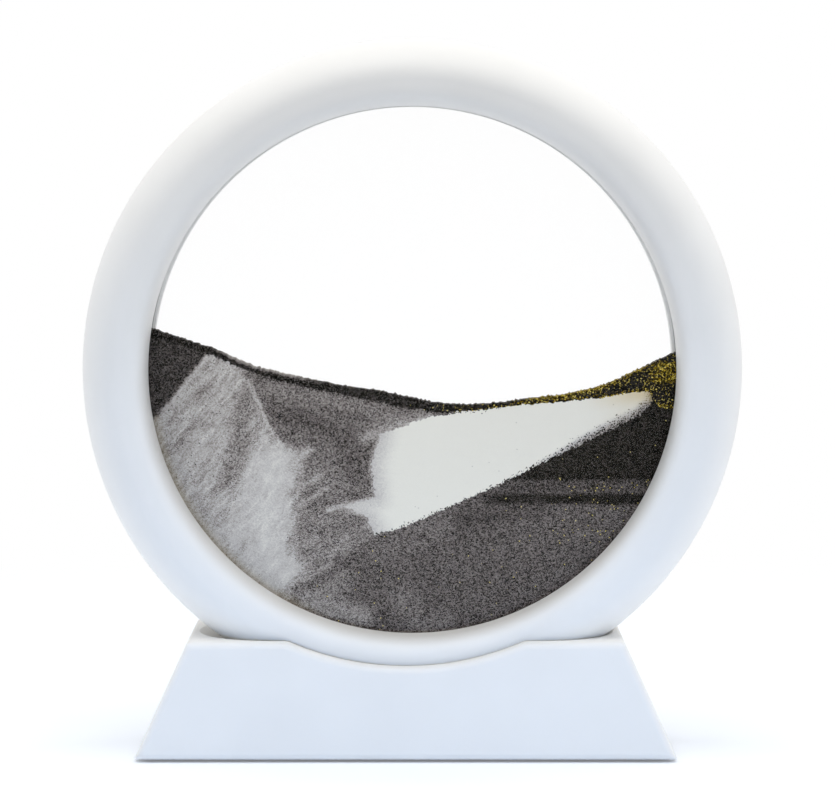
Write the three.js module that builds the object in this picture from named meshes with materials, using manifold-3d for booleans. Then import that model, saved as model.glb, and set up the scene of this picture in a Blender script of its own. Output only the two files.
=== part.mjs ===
// Moving sand art frame: a round hollow frame ring holds a sealed glass cell of water and layered sand,
// and stands loose in the seat of a trapezoid base.
// Millimetres, +Z up. The ring's axis lies along Y and its front faces -Y. The origin is on the table,
// straight below the ring's centre.
import * as THREE from "three";
import { mergeVertices } from "three/addons/utils/BufferGeometryUtils.js";
import Module from "manifold-3d";

const wasm = await Module();
wasm.setup();

// Clearances
const FIT_GAP = 0.3; // round pieces that sit in one another
const PARTING_GAP = 0.2; // between the two halves of the ring
const SAND_GAP = 0.3; // between two sands

// Glass cell
const WINDOW_RADIUS = 65.7; // inner edge of the ring's lips
const GLASS_OVERLAP = 4.3; // of the panes behind the lips
const GLASS_THICKNESS = 2.5;
const CELL_GAP = 4.5; // between the panes
const SEAL_THICKNESS = 0.4;
const SPACER_WIDTH = 2.4;
const GASKET_THICKNESS = 0.6;
const GASKET_INSET = 0.6; // from the edge of the window
const FILM_THICKNESS = 0.7; // of the water between the sand and the spacer ring

// Frame ring
const RING_ROLL = 6.3; // from the edge of the window out to the crest, which stands furthest forward
const RING_SHOULDER = 10.5; // from the crest out to the parting line
const RING_RISE = 11.42; // of the crest in front of the lip
const RING_WALL = 2.2;
const LIP_THICKNESS = 1.23;
const PIN_COUNT = 6;
const PIN_RADIUS = 1.5;
const PIN_LENGTH = 5;
const PIN_WALL = 1.1; // of the post or socket round a pin
const RIB_COUNT = 6;
const RIB_THICKNESS = 1.6;

// Filler neck and plug, at the top of the ring
const PLUG_HEAD_RADIUS = 3;
const PLUG_HEAD_HEIGHT = 2.7;
const PLUG_STEM_RADIUS = 1;
const PLUG_STEM_SHORT = 1.2; // of the foot of the neck
const PLUG_SINK = 0.3; // of the head below the outside of the ring
const NECK_WALL = 1.9;
const NECK_ROOT = 1.5; // of the neck inside the rim of the spacer ring, and of its web outside it
const FILLER_RADIUS = 1.2; // of the hole through the spacer ring

// Base
const RING_SINK = 16.67; // of the ring's lowest point below the top of the base
const SEAT_PLAY = 1.9; // of the ring in its seat, to each side
const SEAT_SIDE_GAP = 1.2; // in front of the ring and behind it
const SEAT_FACE_WALL = 2.8; // of the base in front of the seat and behind it
const SEAT_END_WALL = 1.6; // of the base beyond each end of the seat, at the top
const SEAT_ROOM = 7.4; // under the floor of the seat, above the cover
const DIP_DEPTH = 6.17; // of the curved dip in the front and back walls
const BASE_SPREAD = 13.3; // of each end, from the top of the base to its foot
const BASE_WALL = 2.5;
const BASE_EDGE_RADIUS = 1.8;

// Cover, screws and feet under the base
const COVER_WEB = 1; // of the cover above a screw's head
const SCREW_RADIUS = 1.25;
const SCREW_LENGTH = 9;
const SCREW_HEAD_RADIUS = 2.6;
const SCREW_HEAD_HEIGHT = 1.2;
const SCREW_HEAD_SINK = 0.2; // of the head inside the cover
const SCREW_CROSS = 3.1; // across the cross in the head
const SCREW_SLOT = 0.7; // width and depth of the cross
const BOSS_WALL = 2;
const FOOT_RADIUS = 5;
const FOOT_PROUD = 0.6; // of the feet below the cover
const FOOT_SINK = 0.6; // of the feet inside the cover
const FOOT_END_EDGE = 4.2; // between a foot and the end of the cover
const FOOT_SIDE_EDGE = 2.2; // between a foot and the front or back of the cover
const SCREW_TO_FOOT = 5.4; // between a screw's head and a foot

// Facets
const RING_FACETS = 60;
const SEAT_FACETS = 72;
const SMALL_FACETS = 12;
const OUTER_STEPS = 7; // along the ring's outer curve
const LIP_STEPS = 5; // along the ring's inner curve
const INSIDE_STEPS = 3; // along each curve inside the ring's hollow
const SEAT_STEPS = 10; // along the seat's section
const DIP_STEPS = 16;
const EDGE_STEPS = 3;
const SAND_STEPS = 32;
const WELD = 1e-4; // corners closer than this are one corner

// Sand, as shares of the sand disc's radius, x to the right and z up from the ring's centre
const HEAP_TOP = [
  [-1.15, 0.21], [-0.99, 0.152], [-0.77, 0.075], [-0.575, -0.006], [-0.28, -0.066], [-0.133, -0.086],
  [0.161, -0.142], [0.457, -0.116], [0.7, -0.071], [0.897, 0.013], [1.15, 0.12],
];
const CRUST_FOOT = [
  [-1.15, 0.185], [-0.99, 0.127], [-0.78, 0.05], [-0.575, -0.03], [-0.28, -0.11], [-0.133, -0.131],
  [0.161, -0.172], [0.457, -0.143], [0.7, -0.115], [0.88, -0.09], [0.94, -0.14], [1.15, -0.17],
];
const DRIFT_START = 0.161; // where the black crust ends and the gold drift starts
const BANK_ZONE = [[-0.78, 0.3], [-0.78, 0.06], [-1.14, -0.45], [-1.3, -0.45], [-1.3, 0.3]];
const SLOPE_ZONE = [
  [-0.63, 0.3], [-0.63, -0.02], [-0.567, -0.16], [-0.517, -0.262], [-0.404, -0.312], [-0.43, -0.425],
  [-0.434, -0.538], [-0.46, -0.67], [-0.39, -0.76], [-0.46, -0.83], [-0.38, -1.3], [-1.3, -1.3],
  [-1.3, 0.3],
];
const WEDGE_ZONE = [
  [0.16, 0.1], [0.16, -0.165], [0.07, -0.175], [-0.12, -0.244], [-0.155, -0.357], [-0.14, -0.481],
  [-0.253, -0.519], [-0.173, -0.557], [-0.14, -0.624], [-0.045, -0.602], [0.143, -0.519],
  [0.332, -0.433], [0.52, -0.338], [0.709, -0.247], [0.86, -0.169], [0.905, -0.12], [0.905, 0.1],
];
const BED_ZONE = [
  [-0.6, -0.72], [-0.42, -0.745], [-0.272, -0.7], [-0.14, -0.62], [0.3, -0.3], [0.9, 0], [1.3, 0.1],
  [1.3, -1.3], [-0.6, -1.3],
];

// Sizes that follow from the ones above
const GLASS_RADIUS = WINDOW_RADIUS + GLASS_OVERLAP;
const GLASS_OUTSIDE = CELL_GAP / 2 + GLASS_THICKNESS;
const LIP_SEAT = GLASS_OUTSIDE + GASKET_THICKNESS;
const LIP_FRONT = LIP_SEAT + LIP_THICKNESS;
const CREST_RADIUS = WINDOW_RADIUS + RING_ROLL;
const RING_RADIUS = CREST_RADIUS + RING_SHOULDER;
const RING_HALF_DEPTH = LIP_FRONT + RING_RISE;
const PIN_CIRCLE = (GLASS_RADIUS + FIT_GAP + RING_RADIUS - RING_WALL) / 2;
const SPACER_HALF = CELL_GAP / 2 - SEAL_THICKNESS;
const SPACER_INSIDE = GLASS_RADIUS - SPACER_WIDTH;
const FILM_OUTSIDE = SPACER_INSIDE - FIT_GAP;
const FILL_RADIUS = FILM_OUTSIDE - FILM_THICKNESS - FIT_GAP;
const FILL_HALF = CELL_GAP / 2 - FIT_GAP;
const NECK_FOOT = GLASS_RADIUS + FIT_GAP;
const PLUG_HEAD_FOOT = RING_RADIUS - PLUG_SINK - PLUG_HEAD_HEIGHT;
const PLUG_STEM_FOOT = NECK_FOOT + PLUG_STEM_SHORT;
const COVER_THICKNESS = SCREW_HEAD_SINK + SCREW_HEAD_HEIGHT + COVER_WEB;
const COVER_TOP = FOOT_PROUD + COVER_THICKNESS;
const SEAT_FLOOR = COVER_TOP + SEAT_ROOM + BASE_WALL;
const BASE_TOP = SEAT_FLOOR + FIT_GAP + RING_SINK;
const RING_CENTRE = SEAT_FLOOR + FIT_GAP + RING_RADIUS;
const SEAT_HALF_CHORD = Math.sqrt((RING_RADIUS + FIT_GAP) ** 2 - (RING_CENTRE - BASE_TOP) ** 2);
const BASE_TOP_HALF = SEAT_HALF_CHORD + SEAT_PLAY + SEAT_END_WALL;
const BASE_FOOT_HALF = BASE_TOP_HALF + BASE_SPREAD;
const BASE_HALF_DEPTH = RING_HALF_DEPTH + SEAT_SIDE_GAP + SEAT_FACE_WALL;
const BASE_OFFSET = FIT_GAP - SEAT_PLAY; // the ring rests against the right-hand end of its seat
const COVER_HALF_DEPTH = BASE_HALF_DEPTH - BASE_WALL - FIT_GAP;
const FOOT_X = BASE_FOOT_HALF - BASE_WALL - FIT_GAP - FOOT_END_EDGE - FOOT_RADIUS;
const FOOT_Y = COVER_HALF_DEPTH - FOOT_SIDE_EDGE - FOOT_RADIUS;
const SCREW_X = FOOT_X - FOOT_RADIUS - SCREW_TO_FOOT - SCREW_HEAD_RADIUS;
const SCREW_SEAT = FOOT_PROUD + SCREW_HEAD_SINK + SCREW_HEAD_HEIGHT;
const CORNERS = [[-1, -1], [1, -1], [1, 1], [-1, 1]];
const BEYOND = 5; // how far a cutter runs past what it cuts
const ROOT = 0.5; // how far a rib, post or stem runs into the piece that carries it

// Solids

// A closed mesh with its shared corners merged, as a solid that can be joined and cut.
function solidOf(geometry) {
  const bare = new THREE.BufferGeometry();
  bare.setAttribute("position", geometry.getAttribute("position"));
  bare.setIndex(geometry.getIndex());
  const merged = mergeVertices(bare, WELD);
  const corners = merged.getIndex().array;
  const triangles = [];
  for (let i = 0; i < corners.length; i += 3) {
    const [a, b, c] = corners.slice(i, i + 3);
    if (a !== b && b !== c && c !== a) triangles.push(a, b, c);
  }
  const vertProperties = Float32Array.from(merged.getAttribute("position").array);
  const triVerts = Uint32Array.from(triangles);
  return new wasm.Manifold(new wasm.Mesh({ numProp: 3, vertProperties, triVerts }));
}

function geometryOf(solid) {
  const { vertProperties, triVerts } = solid.getMesh();
  const geometry = new THREE.BufferGeometry();
  geometry.setAttribute("position", new THREE.BufferAttribute(vertProperties, 3));
  geometry.setIndex(new THREE.BufferAttribute(triVerts, 1));
  geometry.computeVertexNormals();
  return geometry;
}

// A profile of radius and y points turned about a line along Y through a centre. The profile closes on
// itself, or starts and ends on that line.
function turned(profile, facets, centre = [0, 0, 0]) {
  const points = profile.map((point) => new THREE.Vector2(point.x, point.y));
  if (points[0].x > 0) points.push(points[0].clone());
  if (THREE.ShapeUtils.area(points) < 0) points.reverse();
  return solidOf(new THREE.LatheGeometry(points, facets).translate(...centre));
}

function washer(inside, outside, low, high, facets = RING_FACETS) {
  const corners = [[inside, low], [outside, low], [outside, high], [inside, high]];
  return turned(corners.map(([radius, y]) => new THREE.Vector2(radius, y)), facets);
}

function disc(radius, low, high, facets = RING_FACETS) {
  return washer(0, radius, low, high, facets);
}

// An outline of x and z points, from y = low to y = high, with its long edges rounded if a radius is given.
function slab(points, low, high, edge = 0) {
  const geometry = new THREE.ExtrudeGeometry(new THREE.Shape(points), {
    depth: high - low - 2 * edge,
    bevelEnabled: edge > 0,
    bevelSize: edge,
    bevelThickness: edge,
    bevelOffset: -edge,
    bevelSegments: EDGE_STEPS,
  });
  geometry.rotateX(Math.PI / 2);
  geometry.translate(0, high - edge, 0);
  return solidOf(geometry);
}

function block(lows, highs) {
  const size = highs.map((high, axis) => high - lows[axis]);
  const middle = highs.map((high, axis) => (high + lows[axis]) / 2);
  return solidOf(new THREE.BoxGeometry(...size).translate(...middle));
}

// A cylinder that stands along Z at (x, y).
function post(x, y, low, high, radius) {
  const geometry = new THREE.CylinderGeometry(radius, radius, high - low, SMALL_FACETS);
  return solidOf(geometry.rotateX(Math.PI / 2).translate(x, y, (low + high) / 2));
}

// A cylinder that lies along Y, at a radius and an angle from the top of the ring.
function peg(radius, angle, low, high, thickness) {
  const geometry = new THREE.CylinderGeometry(thickness, thickness, high - low, SMALL_FACETS);
  geometry.translate(radius * Math.sin(angle), (low + high) / 2, radius * Math.cos(angle));
  return solidOf(geometry);
}

function joined(solids) {
  return solids.reduce((whole, solid) => whole.add(solid));
}

// Evenly spaced angles round the ring, the first one half a step from the top.
function anglesRound(count) {
  return Array.from({ length: count }, (_, i) => (2 * Math.PI * (i + 0.5)) / count);
}

// Frame ring

// Part of an ellipse in the ring's section, about (radius, y).
function sectionArc(radius, y, radiusSize, depthSize, from, to, steps) {
  const curve = new THREE.EllipseCurve(radius, y, radiusSize, depthSize, from, to, from > to);
  return curve.getPoints(steps);
}

// Section of one half of the ring: the outside, the rolled lip, the gasket's seat and the hollow inside.
function ringSection() {
  const quarter = Math.PI / 2;
  const insideDepth = RING_HALF_DEPTH - RING_WALL;
  const insideRoll = RING_ROLL - RING_WALL;
  const insideRise = RING_RISE - RING_WALL;
  const insideShoulder = RING_SHOULDER - RING_WALL;
  const outerStart = Math.asin(PARTING_GAP / 2 / RING_HALF_DEPTH);
  const innerEnd = Math.asin(PARTING_GAP / 2 / insideDepth);
  return [
    ...sectionArc(CREST_RADIUS, 0, RING_SHOULDER, RING_HALF_DEPTH, outerStart, quarter, OUTER_STEPS),
    ...sectionArc(CREST_RADIUS, LIP_FRONT, RING_ROLL, RING_RISE, quarter, 2 * quarter, LIP_STEPS).slice(1),
    new THREE.Vector2(WINDOW_RADIUS, LIP_SEAT),
    new THREE.Vector2(WINDOW_RADIUS + RING_WALL, LIP_SEAT),
    ...sectionArc(CREST_RADIUS, LIP_FRONT, insideRoll, insideRise, 2 * quarter, quarter, INSIDE_STEPS),
    ...sectionArc(CREST_RADIUS, 0, insideShoulder, insideDepth, quarter, innerEnd, INSIDE_STEPS).slice(1),
  ];
}

// How deep the outside of the ring is at a radius beyond the crest.
function depthAt(radius) {
  const share = (radius - CREST_RADIUS) / RING_SHOULDER;
  return RING_HALF_DEPTH * Math.sqrt(1 - share * share);
}

// Ribs that hold the cell in the middle of one half of the ring.
function centringRibs(side) {
  const halfStep = Math.PI / RIB_COUNT / 2;
  return anglesRound(RIB_COUNT).map((angle) => {
    const inside = GLASS_RADIUS + FIT_GAP;
    const outside = RING_RADIUS - RING_WALL + ROOT;
    const near = (side * PARTING_GAP) / 2;
    const far = side * LIP_SEAT;
    const geometry = new THREE.BoxGeometry(RIB_THICKNESS, Math.abs(far - near), outside - inside);
    geometry.translate(0, (near + far) / 2, (inside + outside) / 2).rotateY(angle + halfStep);
    return solidOf(geometry);
  });
}

// One half of the ring: side is -1 for the front, which has pins, and 1 for the rear, which has sockets.
function ringHalf(side) {
  const section = ringSection().map((point) => new THREE.Vector2(point.x, side * point.y));
  const postRadius = PIN_RADIUS + FIT_GAP + PIN_WALL;
  const postEnd = side * (depthAt(PIN_CIRCLE + postRadius) - ROOT);
  const near = (side * PARTING_GAP) / 2;
  const pinEnd = near + PIN_LENGTH;
  let half = joined([turned(section, RING_FACETS), ...centringRibs(side)]);
  for (const angle of anglesRound(PIN_COUNT)) {
    half = half.add(peg(PIN_CIRCLE, angle, Math.min(near, postEnd), Math.max(near, postEnd), postRadius));
    if (side < 0) half = half.add(peg(PIN_CIRCLE, angle, near, pinEnd, PIN_RADIUS));
    else half = half.subtract(peg(PIN_CIRCLE, angle, 0, pinEnd + FIT_GAP, PIN_RADIUS + FIT_GAP));
  }
  const plugHole = post(0, 0, PLUG_HEAD_FOOT - FIT_GAP, RING_RADIUS + BEYOND, PLUG_HEAD_RADIUS + FIT_GAP);
  return half.subtract(plugHole);
}

// Cell

function spacerRing() {
  const neckRadius = PLUG_STEM_RADIUS + FIT_GAP + NECK_WALL;
  const neckTop = PLUG_HEAD_FOOT - FIT_GAP;
  const ring = washer(SPACER_INSIDE, GLASS_RADIUS, -SPACER_HALF, SPACER_HALF);
  const web = block(
    [-neckRadius, -SPACER_HALF, GLASS_RADIUS - NECK_ROOT],
    [neckRadius, SPACER_HALF, NECK_FOOT + NECK_ROOT]);
  const neck = post(0, 0, NECK_FOOT, neckTop, neckRadius);
  const stemBore = post(0, 0, PLUG_STEM_FOOT - FIT_GAP, neckTop + BEYOND, PLUG_STEM_RADIUS + FIT_GAP);
  const fillerHole = post(0, 0, SPACER_INSIDE - BEYOND, PLUG_STEM_FOOT, FILLER_RADIUS);
  return joined([ring, web, neck]).subtract(stemBore).subtract(fillerHole);
}

function fillerPlug() {
  const head = post(0, 0, PLUG_HEAD_FOOT, PLUG_HEAD_FOOT + PLUG_HEAD_HEIGHT, PLUG_HEAD_RADIUS);
  const stem = post(0, 0, PLUG_STEM_FOOT, PLUG_HEAD_FOOT + ROOT, PLUG_STEM_RADIUS);
  return head.add(stem);
}

// Water and sand

function curveThrough(points) {
  return new THREE.SplineCurve(points.map(([x, z]) => new THREE.Vector2(x, z))).getPoints(SAND_STEPS);
}

function inMillimetres(points) {
  return points.map((point) => new THREE.Vector2(...point).multiplyScalar(FILL_RADIUS));
}

// The outline moved outwards by a distance: each corner goes to where its two moved edges meet.
function grown(points, distance) {
  const turn = THREE.ShapeUtils.area(points) > 0 ? 1 : -1;
  const normals = points.map((point, i) => {
    const edge = points[(i + 1) % points.length].clone().sub(point).normalize();
    return new THREE.Vector2(edge.y, -edge.x).multiplyScalar(turn);
  });
  return points.map((point, i) => {
    const before = normals[(i + points.length - 1) % points.length];
    const mitre = before.clone().add(normals[i]);
    return point.clone().add(mitre.multiplyScalar((2 * distance) / mitre.lengthSq()));
  });
}

function zone(points, distance = 0) {
  return slab(grown(inMillimetres(points), distance), -CELL_GAP, CELL_GAP);
}

// Everything in the cell below a line, which is moved up by a distance.
function below(line, rise) {
  const curve = curveThrough(line).map((point) => [point.x, point.y + rise / FILL_RADIUS]);
  const lowest = -1 - BEYOND / FILL_RADIUS;
  return zone([...curve, [curve.at(-1)[0], lowest], [curve[0][0], lowest]]);
}

function cellContents() {
  const fill = disc(FILL_RADIUS, -FILL_HALF, FILL_HALF);
  const heap = fill.intersect(below(HEAP_TOP, 0));
  const crust = heap.subtract(below(CRUST_FOOT, SAND_GAP));
  const layers = fill.intersect(below(CRUST_FOOT, 0));
  const start = DRIFT_START * FILL_RADIUS;
  const left = [-2 * FILL_RADIUS, -CELL_GAP, -FILL_RADIUS];
  const right = [2 * FILL_RADIUS, CELL_GAP, FILL_RADIUS];
  const wedge = layers.intersect(zone(WEDGE_ZONE)).subtract(zone(SLOPE_ZONE, SAND_GAP));
  const bed = layers.intersect(zone(BED_ZONE));
  const others = [SLOPE_ZONE, WEDGE_ZONE, BED_ZONE].map((points) => zone(points, SAND_GAP));
  return {
    water_fill: fill.subtract(below(HEAP_TOP, SAND_GAP)),
    black_sand_crust: crust.intersect(block(left, [start - SAND_GAP / 2, CELL_GAP, FILL_RADIUS])),
    gold_sand_drift: crust.intersect(block([start + SAND_GAP / 2, -CELL_GAP, -FILL_RADIUS], right)),
    black_sand_bank: layers.intersect(zone(BANK_ZONE)),
    white_sand_slope: layers.intersect(zone(SLOPE_ZONE)).subtract(zone(BANK_ZONE, SAND_GAP)),
    grey_sand_mix: others.reduce((rest, other) => rest.subtract(other), layers),
    white_sand_wedge: wedge,
    black_sand_bed: bed.subtract(zone(WEDGE_ZONE, SAND_GAP)).subtract(zone(SLOPE_ZONE, SAND_GAP)),
  };
}

// Base

// A trapezoid with the slant of the base's ends, inset from them by a distance.
function trapezoid(low, high, inset) {
  const slant = BASE_SPREAD / (BASE_TOP - FOOT_PROUD);
  const corner = (side, z) => new THREE.Vector2(side * (BASE_TOP_HALF + slant * (BASE_TOP - z) - inset), z);
  return [corner(-1, low), corner(1, low), corner(1, high), corner(-1, high)];
}

// Outline of the base from the front, with the dip in its top edge. It runs below the base's foot.
function baseOutline() {
  const rise = RING_CENTRE - BASE_TOP;
  const radius = rise + DIP_DEPTH;
  const reach = Math.acos(rise / radius);
  const down = -Math.PI / 2;
  const dip = new THREE.EllipseCurve(0, RING_CENTRE, radius, radius, down + reach, down - reach, true);
  const [lowLeft, lowRight, highRight, highLeft] = trapezoid(FOOT_PROUD - BEYOND, BASE_TOP, 0);
  return [lowLeft, lowRight, highRight, ...dip.getPoints(DIP_STEPS), highLeft];
}

// The room that the ring needs in its seat, from one end of its play to the other, grown by a wall.
function seatRoom(wall) {
  const depth = RING_HALF_DEPTH + SEAT_SIDE_GAP + wall;
  const shoulder = RING_SHOULDER + FIT_GAP + wall;
  const quarter = Math.PI / 2;
  const rim = sectionArc(CREST_RADIUS, 0, shoulder, depth, -quarter, quarter, SEAT_STEPS);
  const wheelOutline = [new THREE.Vector2(0, -depth), ...rim, new THREE.Vector2(0, depth)];
  const wheels = [-SEAT_PLAY, SEAT_PLAY].map((x) => turned(wheelOutline, SEAT_FACETS, [x, 0, RING_CENTRE]));
  const middleOutline = [
    ...rim.map((point) => new THREE.Vector2(point.y, -point.x)),
    new THREE.Vector2(depth, 0),
    new THREE.Vector2(-depth, 0),
  ];
  const middle = new THREE.ExtrudeGeometry(
    new THREE.Shape(middleOutline), { depth: 2 * SEAT_PLAY, bevelEnabled: false });
  const alongX = new THREE.Matrix4().makeBasis(
    new THREE.Vector3(0, 1, 0), new THREE.Vector3(0, 0, 1), new THREE.Vector3(1, 0, 0));
  middle.applyMatrix4(alongX).translate(-SEAT_PLAY, 0, RING_CENTRE);
  return joined([...wheels, solidOf(middle)]);
}

function baseShell() {
  const outside = slab(baseOutline(), -BASE_HALF_DEPTH, BASE_HALF_DEPTH, BASE_EDGE_RADIUS);
  const belowFoot = block(
    [-2 * BASE_FOOT_HALF, -2 * BASE_HALF_DEPTH, FOOT_PROUD - 2 * BEYOND],
    [2 * BASE_FOOT_HALF, 2 * BASE_HALF_DEPTH, FOOT_PROUD]);
  const insideDepth = BASE_HALF_DEPTH - BASE_WALL;
  const insideOutline = trapezoid(FOOT_PROUD - BEYOND, BASE_TOP - BASE_WALL, BASE_WALL);
  const holeRadius = SCREW_RADIUS + FIT_GAP;
  let hollow = slab(insideOutline, -insideDepth, insideDepth).subtract(seatRoom(BASE_WALL));
  for (const [end, face] of CORNERS) {
    const [x, y] = [end * SCREW_X, face * FOOT_Y];
    hollow = hollow.subtract(post(x, y, COVER_TOP, BASE_TOP, holeRadius + BOSS_WALL));
    hollow = hollow.add(post(x, y, FOOT_PROUD, SCREW_SEAT + SCREW_LENGTH + FIT_GAP, holeRadius));
  }
  return outside.subtract(belowFoot).subtract(hollow).subtract(seatRoom(0));
}

function baseCover() {
  const outline = trapezoid(FOOT_PROUD, COVER_TOP, BASE_WALL + FIT_GAP);
  let cover = slab(outline, -COVER_HALF_DEPTH, COVER_HALF_DEPTH);
  for (const [end, face] of CORNERS) {
    const y = face * FOOT_Y;
    cover = cover.subtract(post(end * FOOT_X, y, 0, FOOT_PROUD + FOOT_SINK, FOOT_RADIUS + FIT_GAP));
    cover = cover.subtract(post(end * SCREW_X, y, 0, COVER_TOP + BEYOND, SCREW_RADIUS + FIT_GAP));
    cover = cover.subtract(post(end * SCREW_X, y, 0, SCREW_SEAT, SCREW_HEAD_RADIUS + FIT_GAP));
  }
  return cover;
}

function coverScrew([end, face]) {
  const [x, y] = [end * SCREW_X, face * FOOT_Y];
  const headFoot = SCREW_SEAT - SCREW_HEAD_HEIGHT;
  const head = post(x, y, headFoot, SCREW_SEAT, SCREW_HEAD_RADIUS);
  const shank = post(x, y, SCREW_SEAT - ROOT, SCREW_SEAT + SCREW_LENGTH, SCREW_RADIUS);
  const [long, short] = [SCREW_CROSS / 2, SCREW_SLOT / 2];
  const slots = [[long, short], [short, long]].map(([halfX, halfY]) => block(
    [x - halfX, y - halfY, headFoot - BEYOND], [x + halfX, y + halfY, headFoot + SCREW_SLOT]));
  return head.add(shank).subtract(joined(slots));
}

function footPad([end, face]) {
  return post(end * FOOT_X, face * FOOT_Y, 0, FOOT_PROUD + FOOT_SINK, FOOT_RADIUS);
}

// Assembly

function finish(color, roughness, opacity = 1, metalness = 0) {
  return new THREE.MeshStandardMaterial({ color, roughness, metalness, opacity, transparent: opacity < 1 });
}

function addPiece(group, name, solid, material) {
  const mesh = new THREE.Mesh(geometryOf(solid), material);
  mesh.name = name;
  group.add(mesh);
}

const WHITE_ABS = [0xe6ecf7, 0.42];
const SILICONE = [0xd9ddd8, 0.5];
const RUBBER = [0x2a2a2c, 0.85];
const STEEL = [0xb9bcc0, 0.35, 1, 1];
const GLASS = [0xf3fbf8, 0.05, 0.2];
const WATER = [0xf6fbff, 0.05, 0.15];
const BLACK_SAND = [0x3b373c, 0.9];
const GREY_SAND = [0x7d797a, 0.9];
const PALE_SAND = [0xb0afae, 0.9];
const WHITE_SAND = [0xe4e6e1, 0.9];
const GOLD_SAND = [0x6f6124, 0.6];

const base = new THREE.Group();
base.position.x = BASE_OFFSET;
addPiece(base, "base_shell", baseShell(), finish(...WHITE_ABS));
addPiece(base, "base_cover", baseCover(), finish(...WHITE_ABS));
CORNERS.forEach((corner, i) => {
  addPiece(base, `cover_screw_${i + 1}`, coverScrew(corner), finish(...STEEL));
  addPiece(base, `foot_pad_${i + 1}`, footPad(corner), finish(...RUBBER));
});

const frame = new THREE.Group();
frame.position.z = RING_CENTRE;
const gasketInside = WINDOW_RADIUS + GASKET_INSET;
const gasketOutside = WINDOW_RADIUS + RING_WALL;
for (const [end, side] of [["front", -1], ["rear", 1]]) {
  const layer = (inside, outside, from, to) =>
    washer(inside, outside, Math.min(side * from, side * to), Math.max(side * from, side * to));
  const gasket = layer(gasketInside, gasketOutside, GLASS_OUTSIDE, LIP_SEAT);
  const glass = layer(0, GLASS_RADIUS, CELL_GAP / 2, GLASS_OUTSIDE);
  const seal = layer(SPACER_INSIDE, GLASS_RADIUS, SPACER_HALF, CELL_GAP / 2);
  addPiece(frame, `${end}_frame_ring`, ringHalf(side), finish(...WHITE_ABS));
  addPiece(frame, `${end}_gasket`, gasket, finish(...SILICONE));
  addPiece(frame, `${end}_glass`, glass, finish(...GLASS));
  addPiece(frame, `${end}_seal`, seal, finish(...SILICONE));
}
addPiece(frame, "spacer_ring", spacerRing(), finish(...WHITE_ABS));
addPiece(frame, "filler_plug", fillerPlug(), finish(...SILICONE));
const film = washer(FILL_RADIUS + FIT_GAP, FILM_OUTSIDE, -FILL_HALF, FILL_HALF);
addPiece(frame, "water_film", film, finish(...WATER));

const contents = cellContents();
const contentFinishes = {
  water_fill: WATER,
  black_sand_crust: BLACK_SAND,
  gold_sand_drift: GOLD_SAND,
  black_sand_bank: BLACK_SAND,
  white_sand_slope: PALE_SAND,
  grey_sand_mix: GREY_SAND,
  white_sand_wedge: WHITE_SAND,
  black_sand_bed: BLACK_SAND,
};
for (const [name, solid] of Object.entries(contents)) {
  addPiece(frame, name, solid, finish(...contentFinishes[name]));
}

const sandArtFrame = new THREE.Group();
sandArtFrame.add(base, frame);

export default sandArtFrame;
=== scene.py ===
# Looks of the moving sand art frame, built round its construction model.
# Sizes are in millimetres until a mesh is made, with +Z up, the ring's axis along Y and its front at -Y.
import math

import bmesh
import bpy
import numpy as np
from mathutils import Matrix, Vector, geometry, noise


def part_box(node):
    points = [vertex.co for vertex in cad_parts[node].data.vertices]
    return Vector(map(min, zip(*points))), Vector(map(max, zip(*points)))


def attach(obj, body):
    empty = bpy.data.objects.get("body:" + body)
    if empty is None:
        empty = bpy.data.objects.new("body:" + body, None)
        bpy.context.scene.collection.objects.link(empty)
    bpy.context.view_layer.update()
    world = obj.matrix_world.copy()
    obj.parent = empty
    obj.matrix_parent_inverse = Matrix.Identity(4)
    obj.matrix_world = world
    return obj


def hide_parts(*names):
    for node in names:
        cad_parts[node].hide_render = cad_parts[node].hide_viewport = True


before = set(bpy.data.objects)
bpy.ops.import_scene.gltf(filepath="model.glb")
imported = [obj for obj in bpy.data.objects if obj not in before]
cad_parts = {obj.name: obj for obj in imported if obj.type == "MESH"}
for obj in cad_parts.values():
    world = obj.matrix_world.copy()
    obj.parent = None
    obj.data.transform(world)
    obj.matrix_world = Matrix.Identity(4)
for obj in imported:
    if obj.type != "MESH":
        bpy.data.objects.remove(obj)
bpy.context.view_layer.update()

MM = 0.001
SEED = 11


def box_mm(node):
    """Lowest and highest corner of a construction node, in millimetres."""
    return [np.array(corner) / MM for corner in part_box(node)]


def middle_of(node):
    low, high = box_mm(node)
    return (low + high) / 2


# Frame ring and cell: sizes that the nodes' boxes give
RING_LOW, RING_HIGH = box_mm("front_frame_ring")
GLASS_LOW, GLASS_HIGH = box_mm("front_glass")
GASKET_LOW, GASKET_HIGH = box_mm("front_gasket")
SEAL_LOW, SEAL_HIGH = box_mm("front_seal")
FILM_LOW, FILM_HIGH = box_mm("water_film")
PLUG_LOW, PLUG_HIGH = box_mm("filler_plug")
CENTRE = (GLASS_LOW + GLASS_HIGH) * (0.5, 0, 0.5)
RING_RADIUS = RING_HIGH[0]
RING_HALF_DEPTH = -RING_LOW[1]
PARTING = box_mm("rear_frame_ring")[0][1]
GLASS_RADIUS = GLASS_HIGH[0]
GLASS_OUTSIDE = -GLASS_LOW[1]
GLASS_INSIDE = -GLASS_HIGH[1]
LIP_SEAT = -GASKET_LOW[1]

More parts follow.
